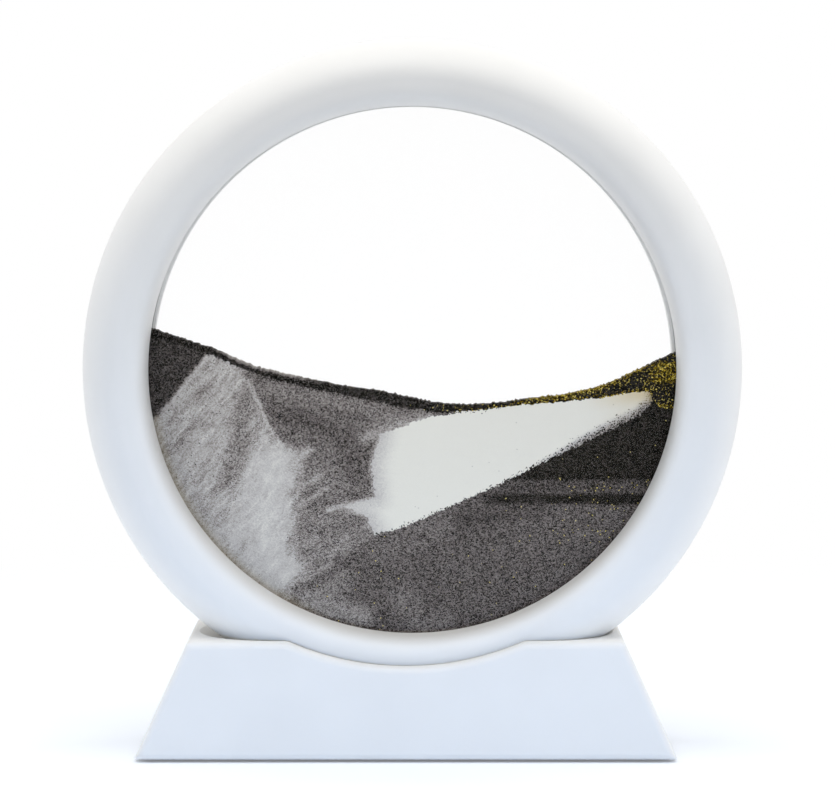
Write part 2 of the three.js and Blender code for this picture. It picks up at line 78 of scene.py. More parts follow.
# Frame ring and cell: other sizes
WINDOW_RADIUS = 65.7
CREST_RADIUS = 72
LIP_FRONT = 6.58
RING_WALL = 2.2
LIP_FULLNESS = 1.8  # of the roll from the crest into the window
LIP_EDGE = 0.6  # chamfer on the lip's inner edge
PARTING_EDGE = 0.3  # rounding of each half at the parting line
GASKET_INSIDE = 66.3
SPACER_INSIDE = 67.6
FILM_INSIDE = 66.6
GLASS_EDGE = 0.3  # ground edge of the panes
PLUG_CLEARANCE = 0.3
PLUG_HEAD_HEIGHT = 2.7
PLUG_STEM_RADIUS = 1
PLUG_TIP_RADIUS = 0.7
PLUG_EDGE = 0.4  # rounding of the plug's head and bevel of its tip
PLUG_SLOT_WIDTH = 0.4
PLUG_SLOT_DEPTH = 0.5
NECK_RADIUS = 3.2
FILLER_RADIUS = 1.2

# Base
BASE_LOW, BASE_HIGH = box_mm("base_shell")
BASE_MIDDLE = (BASE_LOW[0] + BASE_HIGH[0]) / 2
BASE_HALF_DEPTH = BASE_HIGH[1]
BASE_TOP = BASE_HIGH[2]
BASE_FOOT = BASE_LOW[2]
BASE_FOOT_HALF = (BASE_HIGH[0] - BASE_LOW[0]) / 2
BASE_SPREAD = 13.3
BASE_EDGE = 1.8  # rounding along the front and back
BASE_CORNER = 0.9  # rounding of the corners seen from the front
BASE_WALL = 2.5
HOLLOW_CORNER = 0.05  # rounding of the corners of the hollow inside
DIP_RADIUS = 72
SEAT_CREST = 72
SEAT_DEPTH = 19.2
SEAT_SHOULDER = 10.8
SEAT_PLAY = 1.9
COVER_TOP = box_mm("base_cover")[1][2]
BOSS_RADIUS = 3.55
SCREW_HOLE_RADIUS = 1.55
SCREW_HOLE_TOP = 11.3

# Screws and feet
SCREW_NODES = [f"cover_screw_{i}" for i in range(1, 5)]
FOOT_NODES = [f"foot_pad_{i}" for i in range(1, 5)]
SCREW_HEAD_RADIUS = 2.6
SCREW_HEAD_HEIGHT = 1.2
SCREW_HEAD_EDGE = 0.4  # rounding of the head's rim
SCREW_RADIUS = 1.25
SCREW_CROSS = 3.1
SCREW_SLOT = 0.7
THREAD_PITCH = 1.1
THREAD_DEPTH = 0.25
FOOT_EDGE = 0.35

# Sand cell
SAND_RADIUS = 66.3  # what the sand outlines below are shares of
SAND_RIM = 67.2  # the sand reaches this far out, close to the spacer ring
SAND_HALF = 2.1  # half the thickness of the sand, close to the glass
GRAIN = 0.25  # width of a sand grain
MESH_STEP = 0.6  # between the points of the sand's mesh
LINE_STEP = 0.35  # between the points of the sand's outlines
RIM_STEP = 1.2  # between the points of the sand's rim
RIM_LIMIT = 0.9999  # share of the rim's radius inside which the middle of a triangle has to lie
LINE_ROUGHNESS = 0.19  # how far single grains stand out of an outline
TOP_ROUGHNESS = 0.13  # the same along the top of the heap
FLAKE = 0.25  # width of a gold flake
FLAKE_THICKNESS = 0.15  # as a share of its width
FLAKE_TILT = 0.7  # radians that a flake may lean from the face it lies on
FLAKE_COUNT = 6  # on a square millimetre of pure gold
LOOSE_GRAIN = 0.3  # width of a loose grain on top of the heap
LOOSE_TILT = 3  # radians, so that loose grains lie any way round
LOOSE_COUNT = 7  # on a square millimetre of the heap's top
SIZE_RANGE = (0.6, 1.25)  # of single flakes and grains, as shares of their width
STREAK_WIDTH = 1.2
STREAK_LENGTH = 8
REAR_SHIFT = 7.3  # between the noise at the front and at the rear of the sand

# Patterns of the finishes
FLOW_MARK = 26  # width of the flow marks in the plastic
ORANGE_PEEL = 0.7
ZINC_CLOUD = 0.8

# Facets
RING_SEGMENTS = 240
SMALL_SEGMENTS = 40
ARC_STEPS = 24
EDGE_STEPS = 6
SPLINE_STEPS = 24  # between two given points of a smooth curve
SHARP = math.radians(32)  # edges sharper than this stay crisp
NEARLY_STRAIGHT = -0.98  # cosine between two edges that meet almost in line
LOOKS_UP = 0.3  # least upward share in the direction of a face that looks up
WELD = 0.001  # points closer than this are one

# The photograph's camera
CAMERA_PLACE = (1.28, -792, 143.8)
CAMERA_PITCH = 4.03  # degrees below level
LENS = 136.45
SENSOR = 36
CLIP_START = 10

# Light: an even white room, darker round the camera, lamps above and at both sides, and a low cool strip
ROOM_LIGHT = 0.68
DARK_LIGHT = 0.04
DARK_SIDE = (-0.3, -0.95, 0)
DARK_START = 0.5
FLOOR_LIFT = 0.17
FLOOR_HALF = 6000
FLOOR_FADE = (150, 400)  # distances between which the floor turns white to the eye
TOP_POWER = 7.6
SIDE_POWER = 0.9
STRIP_POWER = 0.08
STRIP_SPREAD = 24  # degrees


# Small helpers

def colour(text):
    """An sRGB hex value as linear red, green, blue and alpha."""
    shares = [int(text[i:i + 2], 16) / 255 for i in (0, 2, 4)]
    return [s / 12.92 if s <= 0.04045 else ((s + 0.055) / 1.055) ** 2.4 for s in shares] + [1]


def add_node(tree, kind, links=(), **settings):
    """Adds a node, sets its properties, and links or sets its inputs, given as (input, socket or value)."""
    node = tree.nodes.new(kind)
    for name, value in settings.items():
        setattr(node, name, value)
    for key, value in links:
        if isinstance(value, bpy.types.NodeSocket):
            tree.links.new(value, node.inputs[key])
        else:
            node.inputs[key].default_value = value
    return node


def mesh_of(name, points, faces, edges=()):
    """A mesh from points in millimetres."""
    mesh = bpy.data.meshes.new(name)
    mesh.from_pydata([tuple(float(c) * MM for c in point) for point in points], list(edges), list(faces))
    mesh.update()
    return mesh


def placed(name, mesh):
    thing = bpy.data.objects.new(name, mesh)
    bpy.context.scene.collection.objects.link(thing)
    return thing


def evaluated(thing):
    """The object's mesh after its modifiers. The object is removed."""
    graph = bpy.context.evaluated_depsgraph_get()
    mesh = bpy.data.meshes.new_from_object(thing.evaluated_get(graph))
    bpy.data.objects.remove(thing)
    return mesh


def finished(shape, name):
    """A mesh from an edited shape, which is freed."""
    mesh = bpy.data.meshes.new(name)
    shape.to_mesh(mesh)
    shape.free()
    return mesh


def outward(mesh):
    """Merges doubled points and turns all faces outwards."""
    shape = bmesh.new()
    shape.from_mesh(mesh)
    bmesh.ops.remove_doubles(shape, verts=shape.verts, dist=WELD * MM)
    bmesh.ops.dissolve_degenerate(shape, edges=shape.edges, dist=WELD * MM)
    spare = [edge for edge in shape.edges if not edge.link_faces]
    bmesh.ops.delete(shape, geom=spare, context="EDGES")
    bmesh.ops.recalc_face_normals(shape, faces=shape.faces)
    shape.to_mesh(mesh)
    shape.free()
    return mesh


def smooth(mesh):
    """Smooth shading with crisp edges, where large flat faces keep their own direction."""
    outward(mesh)
    mesh.polygons.foreach_set("use_smooth", [True] * len(mesh.polygons))
    mesh.set_sharp_from_angle(angle=SHARP)
    thing = placed("smoothing", mesh)
    thing.modifiers.new("flat faces lead", "WEIGHTED_NORMAL").keep_sharp = True
    return evaluated(thing)


def cut(mesh, cutter, operation="DIFFERENCE"):
    """The mesh with a cutter taken away from it, or joined to it."""
    thing, tool = placed("cutting", mesh), placed("cutter", cutter)
    boolean = thing.modifiers.new("cut", "BOOLEAN")
    boolean.operation = operation
    boolean.solver = "EXACT"
    boolean.object = tool
    result = evaluated(thing)
    bpy.data.objects.remove(tool)
    return result


def piece(name, mesh, finish, body, nodes=()):
    """A finished piece that rides on a body and stands for construction nodes."""
    mesh.name = name
    mesh.materials.clear()
    mesh.materials.append(finish)
    thing = placed(name, mesh)
    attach(thing, body)
    if nodes:
        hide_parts(*nodes)
    return thing


def arc(centre_r, centre_y, size_r, size_y, start, end, steps, fullness=1):
    """Points of an ellipse's arc, with its angles in degrees. A fullness over 1 squares it off."""
    angles = np.radians(np.linspace(start, end, steps + 1))
    swell = lambda share: math.copysign(abs(share) ** (1 / fullness), share)
    return [(centre_r + size_r * swell(math.cos(a)), centre_y + size_y * swell(math.sin(a))) for a in angles]


# Materials

def new_finish(name):
    """A material and its emptied tree."""
    finish = bpy.data.materials.new(name)
    finish.use_nodes = True
    finish.node_tree.nodes.clear()
    return finish, finish.node_tree


def close_finish(tree, inputs):
    """Ends a material's tree with a Principled shader, its inputs linked or set."""
    shader = add_node(tree, "ShaderNodeBsdfPrincipled", inputs)
    add_node(tree, "ShaderNodeOutputMaterial", [("Surface", shader.outputs["BSDF"])])


def pattern_scale(width):
    """Texture scale at which one cell or wave of a pattern is this many millimetres wide."""
    return 1 / (width * MM)


def colour_steps(node, steps):
    """Sets a colour ramp's steps."""
    stops = node.color_ramp.elements
    while len(stops) < len(steps):
        stops.new(0.5)
    for stop, (place, text) in zip(stops, steps):
        stop.position = place
        stop.color = colour(text)


def moulded_abs():
    """White ABS, injection moulded in a fine-sanded mould: a satin skin with a soft, wide gloss, slight
    flow marks in its tone and a fine orange peel."""
    finish, tree = new_finish("moulded_white_abs")
    place = add_node(tree, "ShaderNodeTexCoord").outputs["Object"]
    flow = add_node(tree, "ShaderNodeTexNoise", [
        ("Vector", place), ("Scale", pattern_scale(FLOW_MARK)), ("Detail", 2)])
    tone = add_node(tree, "ShaderNodeValToRGB", [("Fac", flow.outputs["Fac"])])
    colour_steps(tone, [(0.35, "f0efec"), (0.65, "f3f2ef")])
    peel = add_node(tree, "ShaderNodeTexNoise", [
        ("Vector", place), ("Scale", pattern_scale(ORANGE_PEEL)), ("Detail", 3)])
    gloss = add_node(tree, "ShaderNodeMapRange", [
        ("Value", peel.outputs["Fac"]), ("From Min", 0.3), ("From Max", 0.7),
        ("To Min", 0.4), ("To Max", 0.5)])
    bump = add_node(tree, "ShaderNodeBump", [
        ("Height", peel.outputs["Fac"]), ("Strength", 0.06), ("Distance", 0.02 * MM)])
    close_finish(tree, [
        ("Base Color", tone.outputs["Color"]), ("Roughness", gloss.outputs["Result"]),
        ("Normal", bump.outputs["Normal"]), ("IOR", 1.53)])
    return finish


def float_glass():
    """Clear float glass, cut round and ground at its edge. Its inner face is wet and the sand lies close
    behind it, so it mirrors far less than dry glass, which the low IOR stands for. Lamp light passes it
    unbent."""
    finish, tree = new_finish("clear_float_glass")
    shader = add_node(tree, "ShaderNodeBsdfPrincipled", [
        ("Base Color", colour("ffffff")), ("Transmission Weight", 1), ("Roughness", 0), ("IOR", 1.1)])
    clear = add_node(tree, "ShaderNodeBsdfTransparent", [("Color", colour("ffffff"))])
    path = add_node(tree, "ShaderNodeLightPath")
    both = add_node(tree, "ShaderNodeMixShader", [
        (0, path.outputs["Is Shadow Ray"]), (1, shader.outputs["BSDF"]), (2, clear.outputs["BSDF"])])
    add_node(tree, "ShaderNodeOutputMaterial", [("Surface", both.outputs["Shader"])])
    return finish


def cell_water():
    """Clear water that fills the cell: it wets sand and glass, so only the faintest tint of it shows."""
    finish, tree = new_finish("clear_water")
    close_finish(tree, [
        ("Base Color", colour("f6fbfd")), ("Roughness", 0.02), ("IOR", 1.333), ("Alpha", 0.012)])
    return finish


def soft_polymer(name, dark, pale, roughness, speck):
    """Moulded silicone or rubber: a dull skin, mottled in specks of a width."""
    finish, tree = new_finish(name)
    place = add_node(tree, "ShaderNodeTexCoord").outputs["Object"]
    cloud = add_node(tree, "ShaderNodeTexNoise", [
        ("Vector", place), ("Scale", pattern_scale(speck)), ("Detail", 4)])
    tone = add_node(tree, "ShaderNodeValToRGB", [("Fac", cloud.outputs["Fac"])])
    colour_steps(tone, [(0, dark), (1, pale)])
    bump = add_node(tree, "ShaderNodeBump", [
        ("Height", cloud.outputs["Fac"]), ("Strength", 0.15), ("Distance", 0.03 * MM)])
    close_finish(tree, [
        ("Base Color", tone.outputs["Color"]), ("Normal", bump.outputs["Normal"]),
        ("Roughness", roughness), ("IOR", 1.43)])
    return finish


def zinc_steel():
    """Zinc-plated steel: a pale grey metal with cloudy, uneven gloss."""
    finish, tree = new_finish("zinc_plated_steel")
    place = add_node(tree, "ShaderNodeTexCoord").outputs["Object"]
    cloud = add_node(tree, "ShaderNodeTexNoise", [
        ("Vector", place), ("Scale", pattern_scale(ZINC_CLOUD)), ("Detail", 3)])
    gloss = add_node(tree, "ShaderNodeMapRange", [
        ("Value", cloud.outputs["Fac"]), ("From Min", 0.3), ("From Max", 0.7),
        ("To Min", 0.25), ("To Max", 0.45)])
    close_finish(tree, [
        ("Base Color", colour("c4c7ca")), ("Metallic", 1), ("Roughness", gloss.outputs["Result"])])
    return finish


# Tone of the sand, as a share of white, and the colour it has there
SAND_COLOURS = [
    (0.04, "0d0c08"), (0.15, "28251f"), (0.225, "3b3632"), (0.325, "56504e"), (0.44, "756d69"),
    (0.55, "908a84"), (0.64, "a8a29c"), (0.735, "bdb9b4"), (0.84, "dedbd0"),
]
WARM_SAND = "cdb98a"
# Glitter from near black to bright yellow: a painted glint, for flakes that reflect dark or catch the light
PAINTED_GOLD_GLINTS = [(0, "120f05"), (0.55, "3e3305"), (0.8, "b89814"), (1, "ffea78")]
LOOSE_COLOURS = [(0, "0f0e0c"), (0.7, "2a2722"), (1, "8a8270")]
STRAY_TONE = 0.12
GRAIN_SKEW = 0.5  # power of chance by which most grains are a little paler than their layer, few far darker
GRAIN_MEAN = 1 / (1 + GRAIN_SKEW)  # what that makes of chance on average
CROWDED = 1 / 3  # share of gold from which its flakes hide each other


def layered_sand():
    """Washed quartz and iron sand, wet behind glass, so without gloss: each grain has its own tone round that
    of its layer, some stray grains are black and some are brass glitter. Fine streaks follow the flow. The
    glitter's glints are painted into its colour: lone flakes are painted bright, as if each caught the light,
    and crowded ones are painted bright and dull by turns."""
    finish, tree = new_finish("layered_wet_sand")
    place = add_node(tree, "ShaderNodeTexCoord").outputs["Object"]
    layer, speckle, stray, gold, warmth = [
        add_node(tree, "ShaderNodeAttribute", attribute_name=name).outputs["Fac"]
        for name in ("tone", "speckle", "stray", "gold", "warmth")]
    flow = add_node(tree, "ShaderNodeAttribute", attribute_name="flow").outputs["Vector"]
    across, along, strength = add_node(tree, "ShaderNodeSeparateXYZ", [(0, flow)]).outputs
    lane = add_node(tree, "ShaderNodeCombineXYZ", [(0, across), (1, along)])
    streaks = add_node(tree, "ShaderNodeTexNoise", [
        ("Vector", lane.outputs[0]), ("Scale", 1), ("Detail", 3), ("Roughness", 0.65)])
    streak = add_node(tree, "ShaderNodeMath", [(0, streaks.outputs["Fac"]), (1, 0.5)], operation="SUBTRACT")
    base = add_node(tree, "ShaderNodeMath", [
        (0, streak.outputs[0]), (1, strength), (2, layer)], operation="MULTIPLY_ADD")

    grains = add_node(tree, "ShaderNodeTexVoronoi", [("Vector", place), ("Scale", pattern_scale(GRAIN))])
    grain_chances = add_node(tree, "ShaderNodeSeparateColor", [("Color", grains.outputs["Color"])])
    chance, _, stray_chance = grain_chances.outputs
    skewed = add_node(tree, "ShaderNodeMath", [(0, chance), (1, GRAIN_SKEW)], operation="POWER")
    offset = add_node(tree, "ShaderNodeMath", [(0, skewed.outputs[0]), (1, GRAIN_MEAN)], operation="SUBTRACT")
    mixed = add_node(tree, "ShaderNodeMath", [
        (0, offset.outputs[0]), (1, speckle), (2, base.outputs[0])], operation="MULTIPLY_ADD")
    is_stray = add_node(tree, "ShaderNodeMath", [(0, stray_chance), (1, stray)], operation="LESS_THAN")
    tone = add_node(tree, "ShaderNodeMix", [
        (0, is_stray.outputs[0]), (2, mixed.outputs[0]), (3, STRAY_TONE)], data_type="FLOAT")
    sand = add_node(tree, "ShaderNodeValToRGB", [("Fac", tone.outputs[0])])
    colour_steps(sand, SAND_COLOURS)
    warm = add_node(tree, "ShaderNodeMix", [
        (0, warmth), (6, sand.outputs["Color"]), (7, colour(WARM_SAND))], data_type="RGBA")

    # Painted glints: each flake cell gets a brightness by chance, and lone flakes are painted brighter
    flakes = add_node(tree, "ShaderNodeTexVoronoi", [("Vector", place), ("Scale", pattern_scale(FLAKE))])
    flake_chances = add_node(tree, "ShaderNodeSeparateColor", [("Color", flakes.outputs["Color"])])
    glint, gold_chance, _ = flake_chances.outputs
    crowd = add_node(tree, "ShaderNodeMath", [
        (0, gold), (1, 1 / CROWDED)], operation="MULTIPLY", use_clamp=True)
    dullness = add_node(tree, "ShaderNodeMath", [(0, 1), (1, glint)], operation="SUBTRACT")
    loss = add_node(tree, "ShaderNodeMath", [
        (0, dullness.outputs[0]), (1, crowd.outputs[0])], operation="MULTIPLY")
    flash = add_node(tree, "ShaderNodeMath", [(0, 1), (1, loss.outputs[0])], operation="SUBTRACT")
    glitter = add_node(tree, "ShaderNodeValToRGB", [("Fac", flash.outputs[0])])
    colour_steps(glitter, PAINTED_GOLD_GLINTS)
    is_gold = add_node(tree, "ShaderNodeMath", [(0, gold_chance), (1, gold)], operation="LESS_THAN")
    seen = add_node(tree, "ShaderNodeMix", [
        (0, is_gold.outputs[0]), (6, warm.outputs[2]), (7, glitter.outputs["Color"])], data_type="RGBA")
    bump = add_node(tree, "ShaderNodeBump", [
        ("Height", grains.outputs["Distance"]), ("Strength", 0.1), ("Distance", 0.1 * MM)], invert=True)
    close_finish(tree, [
        ("Base Color", seen.outputs[2]), ("Normal", bump.outputs["Normal"]),
        ("Roughness", 0.9), ("Specular IOR Level", 0.05)])
    return finish


def single_grains(name, steps, metallic, roughness):
    """Loose grains or flakes, each with its own shade between the steps of a colour."""
    finish, tree = new_finish(name)
    shade = add_node(tree, "ShaderNodeAttribute", attribute_name="shade").outputs["Fac"]
    tone = add_node(tree, "ShaderNodeValToRGB", [("Fac", shade)])
    colour_steps(tone, steps)
    close_finish(tree, [
        ("Base Color", tone.outputs["Color"]), ("Metallic", metallic), ("Roughness", roughness)])
    return finish


WHITE_ABS = moulded_abs()
GLASS = float_glass()
WATER = cell_water()
SILICONE = soft_polymer("pale_silicone", "e4e8e2", "f0f3ee", roughness=0.5, speck=1.5)
RUBBER = soft_polymer("black_rubber", "1d1d1f", "2b2b2e", roughness=0.8, speck=0.6)
STEEL = zinc_steel()
SAND = layered_sand()
# Iron sand: single grains, each its own near black, dull
LOOSE_SAND = single_grains("loose_dark_grains", LOOSE_COLOURS, metallic=0, roughness=0.8)
# Polyester glitter with a brass-coloured mirror coat: flat flakes, each painted by chance from dark to
# bright, a painted glint over the light that their tilt catches
GLITTER = single_grains("brass_glitter", PAINTED_GOLD_GLINTS, metallic=0.85, roughness=0.3)


# Geometry Nodes

def new_tree(name, inputs):
    """A Geometry Nodes tree with a geometry input, named inputs and a geometry output."""
    tree = bpy.data.node_groups.new(name, "GeometryNodeTree")
    tree.interface.new_socket("Geometry", in_out="INPUT", socket_type="NodeSocketGeometry")
    for label, kind in inputs:
        tree.interface.new_socket(label, in_out="INPUT", socket_type=kind)
    tree.interface.new_socket("Geometry", in_out="OUTPUT", socket_type="NodeSocketGeometry")
    return tree, add_node(tree, "NodeGroupInput").outputs


def close_tree(tree, made, finish):
    """Ends a tree: instances become plain mesh, with one finish."""
    real = add_node(tree, "GeometryNodeRealizeInstances", [("Geometry", made)])
    dressed = add_node(tree, "GeometryNodeSetMaterial", [("Geometry", real.outputs[0]), ("Material", finish)])
    add_node(tree, "NodeGroupOutput", [("Geometry", dressed.outputs[0])])
    return tree


def run_tree(tree, mesh, **values):
    """The mesh that a tree makes from a mesh. Values are given by their input's name in lower case."""
    thing = placed("growing", mesh)
    modifier = thing.modifiers.new("tree", "NODES")
    modifier.node_group = tree
    for socket in tree.interface.items_tree:
        key = socket.name.lower().replace(" ", "_")
        if socket.in_out == "INPUT" and key in values:
            modifier[socket.identifier] = values[key]
    return evaluated(thing)


def turning_tree():
    """Sweeps a section round the Y axis. The section lies in X, as a radius, and Y."""
    tree, given = new_tree("turn_section", [
        ("Path Radius", "NodeSocketFloat"), ("Segments", "NodeSocketInt"), ("Finish", "NodeSocketMaterial")])
    section = add_node(tree, "GeometryNodeMeshToCurve", [("Mesh", given["Geometry"])])
    inward = add_node(tree, "ShaderNodeMath", [(0, given["Path Radius"]), (1, -1)], operation="MULTIPLY")
    shift = add_node(tree, "ShaderNodeCombineXYZ", [("X", inward.outputs[0])])
    profile = add_node(tree, "GeometryNodeTransform", [
        ("Geometry", section.outputs[0]), ("Translation", shift.outputs[0])])
    path = add_node(tree, "GeometryNodeCurvePrimitiveCircle", [
        ("Resolution", given["Segments"]), ("Radius", given["Path Radius"])], mode="RADIUS")
    swept = add_node(tree, "GeometryNodeCurveToMesh", [
        ("Curve", path.outputs["Curve"]), ("Profile Curve", profile.outputs[0])])
    upright = add_node(tree, "GeometryNodeTransform", [
        ("Geometry", swept.outputs[0]), ("Rotation", (math.pi / 2, 0, 0))])
    return close_tree(tree, upright.outputs[0], given["Finish"])


def scattering_tree(name, flat):
    """Scatters flat flakes, or round grains, over a surface. The surface's share attribute thins them."""
    tree, given = new_tree(name, [
        ("Density", "NodeSocketFloat"), ("Size", "NodeSocketFloat"), ("Tilt", "NodeSocketFloat"),
        ("Seed", "NodeSocketInt"), ("Finish", "NodeSocketMaterial")])
    share = add_node(tree, "GeometryNodeInputNamedAttribute", [("Name", "share")], data_type="FLOAT")
    density = add_node(tree, "ShaderNodeMath", [
        (0, share.outputs["Attribute"]), (1, given["Density"])], operation="MULTIPLY")
    spots = add_node(tree, "GeometryNodeDistributePointsOnFaces", [
        ("Mesh", given["Geometry"]), ("Density", density.outputs[0]), ("Seed", given["Seed"])])
    radius = add_node(tree, "ShaderNodeMath", [(0, given["Size"]), (1, 0.5)], operation="MULTIPLY")
    if flat:
        thickness = add_node(tree, "ShaderNodeMath", [
            (0, given["Size"]), (1, FLAKE_THICKNESS)], operation="MULTIPLY")
        grain = add_node(tree, "GeometryNodeMeshCylinder", [
            ("Vertices", 6), ("Radius", radius.outputs[0]), ("Depth", thickness.outputs[0])])
    else:
        grain = add_node(tree, "GeometryNodeMeshIcoSphere", [
            ("Radius", radius.outputs[0]), ("Subdivisions", 1)])
    least = add_node(tree, "ShaderNodeMath", [(0, given["Tilt"]), (1, -1)], operation="MULTIPLY")
    tilt = add_node(tree, "FunctionNodeRandomValue", [
        (0, least.outputs[0]), (1, given["Tilt"]), ("Seed", given["Seed"])], data_type="FLOAT_VECTOR")
    turn = add_node(tree, "FunctionNodeEulerToRotation", [(0, tilt.outputs[0])])
    facing = add_node(tree, "FunctionNodeRotateRotation", [
        (0, spots.outputs["Rotation"]), (1, turn.outputs[0])], rotation_space="LOCAL")
    size = add_node(tree, "FunctionNodeRandomValue", [
        (2, SIZE_RANGE[0]), (3, SIZE_RANGE[1]), ("Seed", given["Seed"])], data_type="FLOAT")
    scattered = add_node(tree, "GeometryNodeInstanceOnPoints", [
        ("Points", spots.outputs["Points"]), ("Instance", grain.outputs["Mesh"]),
        ("Rotation", facing.outputs[0]), ("Scale", size.outputs[1])])
    # A random shade for each: a tone for loose grains, and for flakes a painted glint
    shade = add_node(tree, "FunctionNodeRandomValue", [
        (2, 0.0), (3, 1.0), ("Seed", given["Seed"])], data_type="FLOAT")
    toned = add_node(tree, "GeometryNodeStoreNamedAttribute", [
        ("Geometry", scattered.outputs[0]), ("Name", "shade"), ("Value", shade.outputs[1])],
        data_type="FLOAT", domain="INSTANCE")
    return close_tree(tree, toned.outputs[0], given["Finish"])


def setting_out_tree():
    """Puts a copy of one piece at each point."""
    tree, given = new_tree("set_out", [("Copied", "NodeSocketObject"), ("Finish", "NodeSocketMaterial")])
    copied = add_node(tree, "GeometryNodeObjectInfo", [("Object", given["Copied"])])
    copies = add_node(tree, "GeometryNodeInstanceOnPoints", [
        ("Points", given["Geometry"]), ("Instance", copied.outputs["Geometry"])])
    return close_tree(tree, copies.outputs[0], given["Finish"])


TURN = turning_tree()
SCATTER_FLAKES = scattering_tree("scatter_flakes", flat=True)
SCATTER_GRAINS = scattering_tree("scatter_grains", flat=False)
SET_OUT = setting_out_tree()


def turned(name, section, finish, segments=RING_SEGMENTS, place=CENTRE, axis="Y"):
    """A closed section of radius and y points turned about the Y axis through a place, or about Z."""
    count = len(section)
    ring = [(i, (i + 1) % count) for i in range(count)]
    drawn = mesh_of(name, [(radius, y, 0) for radius, y in section], [], ring)
    path = max(radius for radius, _ in section) * MM
    mesh = run_tree(TURN, drawn, path_radius=path, segments=segments, finish=finish)
    if axis == "Z":
        mesh.transform(Matrix.Rotation(math.pi / 2, 4, "X"))
    mesh.transform(Matrix.Translation(Vector(place) * MM))
    return outward(mesh)


def set_out(name, mesh, places, finish, body, nodes=()):
    """One piece with a copy of a mesh at each place."""
    copied = placed("copied", mesh)
    copies = run_tree(SET_OUT, mesh_of("spots", places, []), copied=copied, finish=finish)
    bpy.data.objects.remove(copied)
    piece(name, copies, finish, body, nodes)


# Frame ring

def ring_section(side):
    """Section of one half of the ring: outside, rolled lip, seat for the gasket, and the hollow inside."""
    shoulder = RING_RADIUS - CREST_RADIUS
    roll = CREST_RADIUS - WINDOW_RADIUS
    rise = RING_HALF_DEPTH - LIP_FRONT
    inside = RING_HALF_DEPTH - RING_WALL
    start = math.degrees(math.asin((PARTING + PARTING_EDGE) / RING_HALF_DEPTH))
    end = math.degrees(math.asin(PARTING / inside))
    outer = arc(CREST_RADIUS, 0, shoulder, RING_HALF_DEPTH, start, 90, 2 * ARC_STEPS)
    edge_radius = outer[0][0] - PARTING_EDGE
    section = [
        *arc(edge_radius, PARTING + PARTING_EDGE, PARTING_EDGE, PARTING_EDGE, -90, 0, EDGE_STEPS)[:-1],
        *outer,
        *arc(CREST_RADIUS, LIP_FRONT, roll, rise, 90, 180, ARC_STEPS, LIP_FULLNESS)[1:],
        (WINDOW_RADIUS, LIP_SEAT + LIP_EDGE),
        (WINDOW_RADIUS + LIP_EDGE, LIP_SEAT),
        (WINDOW_RADIUS + RING_WALL, LIP_SEAT),
        *arc(CREST_RADIUS, LIP_FRONT, roll - RING_WALL, rise - RING_WALL, 180, 90, EDGE_STEPS),
        *arc(CREST_RADIUS, 0, shoulder - RING_WALL, inside, 90, end, 2 * EDGE_STEPS)[1:],
    ]
    return [(radius, side * y) for radius, y in section]


def rod(name, place, low, high, radius):
    """A plain cylinder along Z, used to cut holes or to join."""
    corners = [(0, low), (radius, low), (radius, high), (0, high)]
    return turned(name, corners, WHITE_ABS, SMALL_SEGMENTS, (*place, 0), "Z")


def make_ring():
    """Both halves of the ring, with the hole for the plug across their parting line."""
    hole_foot = PLUG_HIGH[2] - PLUG_HEAD_HEIGHT
    hole_top = PLUG_HIGH[2] + RING_WALL
    for end, side in (("front", -1), ("rear", 1)):
        half = turned(f"{end}_frame_ring", ring_section(side), WHITE_ABS)
        hole = rod("plug_hole", CENTRE[:2], hole_foot, hole_top, PLUG_HIGH[0] + PLUG_CLEARANCE)
        half = smooth(cut(half, hole))
        piece(f"fine_{end}_frame_ring", half, WHITE_ABS, "frame", [f"{end}_frame_ring"])


def make_plug():
    """A soft plug with a round head, a thin stem and a slot for lifting it with a nail."""
    head, foot = PLUG_HIGH[2], PLUG_LOW[2]
    radius = PLUG_HIGH[0]
    neck = head - PLUG_HEAD_HEIGHT
    rim = arc(radius - PLUG_EDGE, head - PLUG_EDGE, PLUG_EDGE, PLUG_EDGE, 0, 90, EDGE_STEPS)
    section = [
        (0, foot), (PLUG_TIP_RADIUS, foot), (PLUG_STEM_RADIUS, foot + PLUG_EDGE),
        (PLUG_STEM_RADIUS, neck), (radius, neck), *rim, (0, head)]
    plug = turned("filler_plug", section, SILICONE, SMALL_SEGMENTS, (*CENTRE[:2], 0), "Z")
    low = (-radius / 2, -PLUG_SLOT_WIDTH / 2, head - PLUG_SLOT_DEPTH)
    high = (radius / 2, PLUG_SLOT_WIDTH / 2, head + PLUG_SLOT_DEPTH)
    plug = smooth(cut(plug, block("slot", low, high)))
    piece("fine_filler_plug", plug, SILICONE, "frame", ["filler_plug"])


def block(name, low, high):
    """A box between two corners, used to cut."""
    corners = [(x, y, z) for x in (low[0], high[0]) for y in (low[1], high[1]) for z in (low[2], high[2])]
    faces = [(0, 1, 3, 2), (4, 6, 7, 5), (0, 4, 5, 1), (2, 3, 7, 6), (0, 2, 6, 4), (1, 5, 7, 3)]
    return mesh_of(name, corners, faces)


def washer(inside, outside, low, high):
    return [(inside, low), (outside, low), (outside, high), (inside, high)]


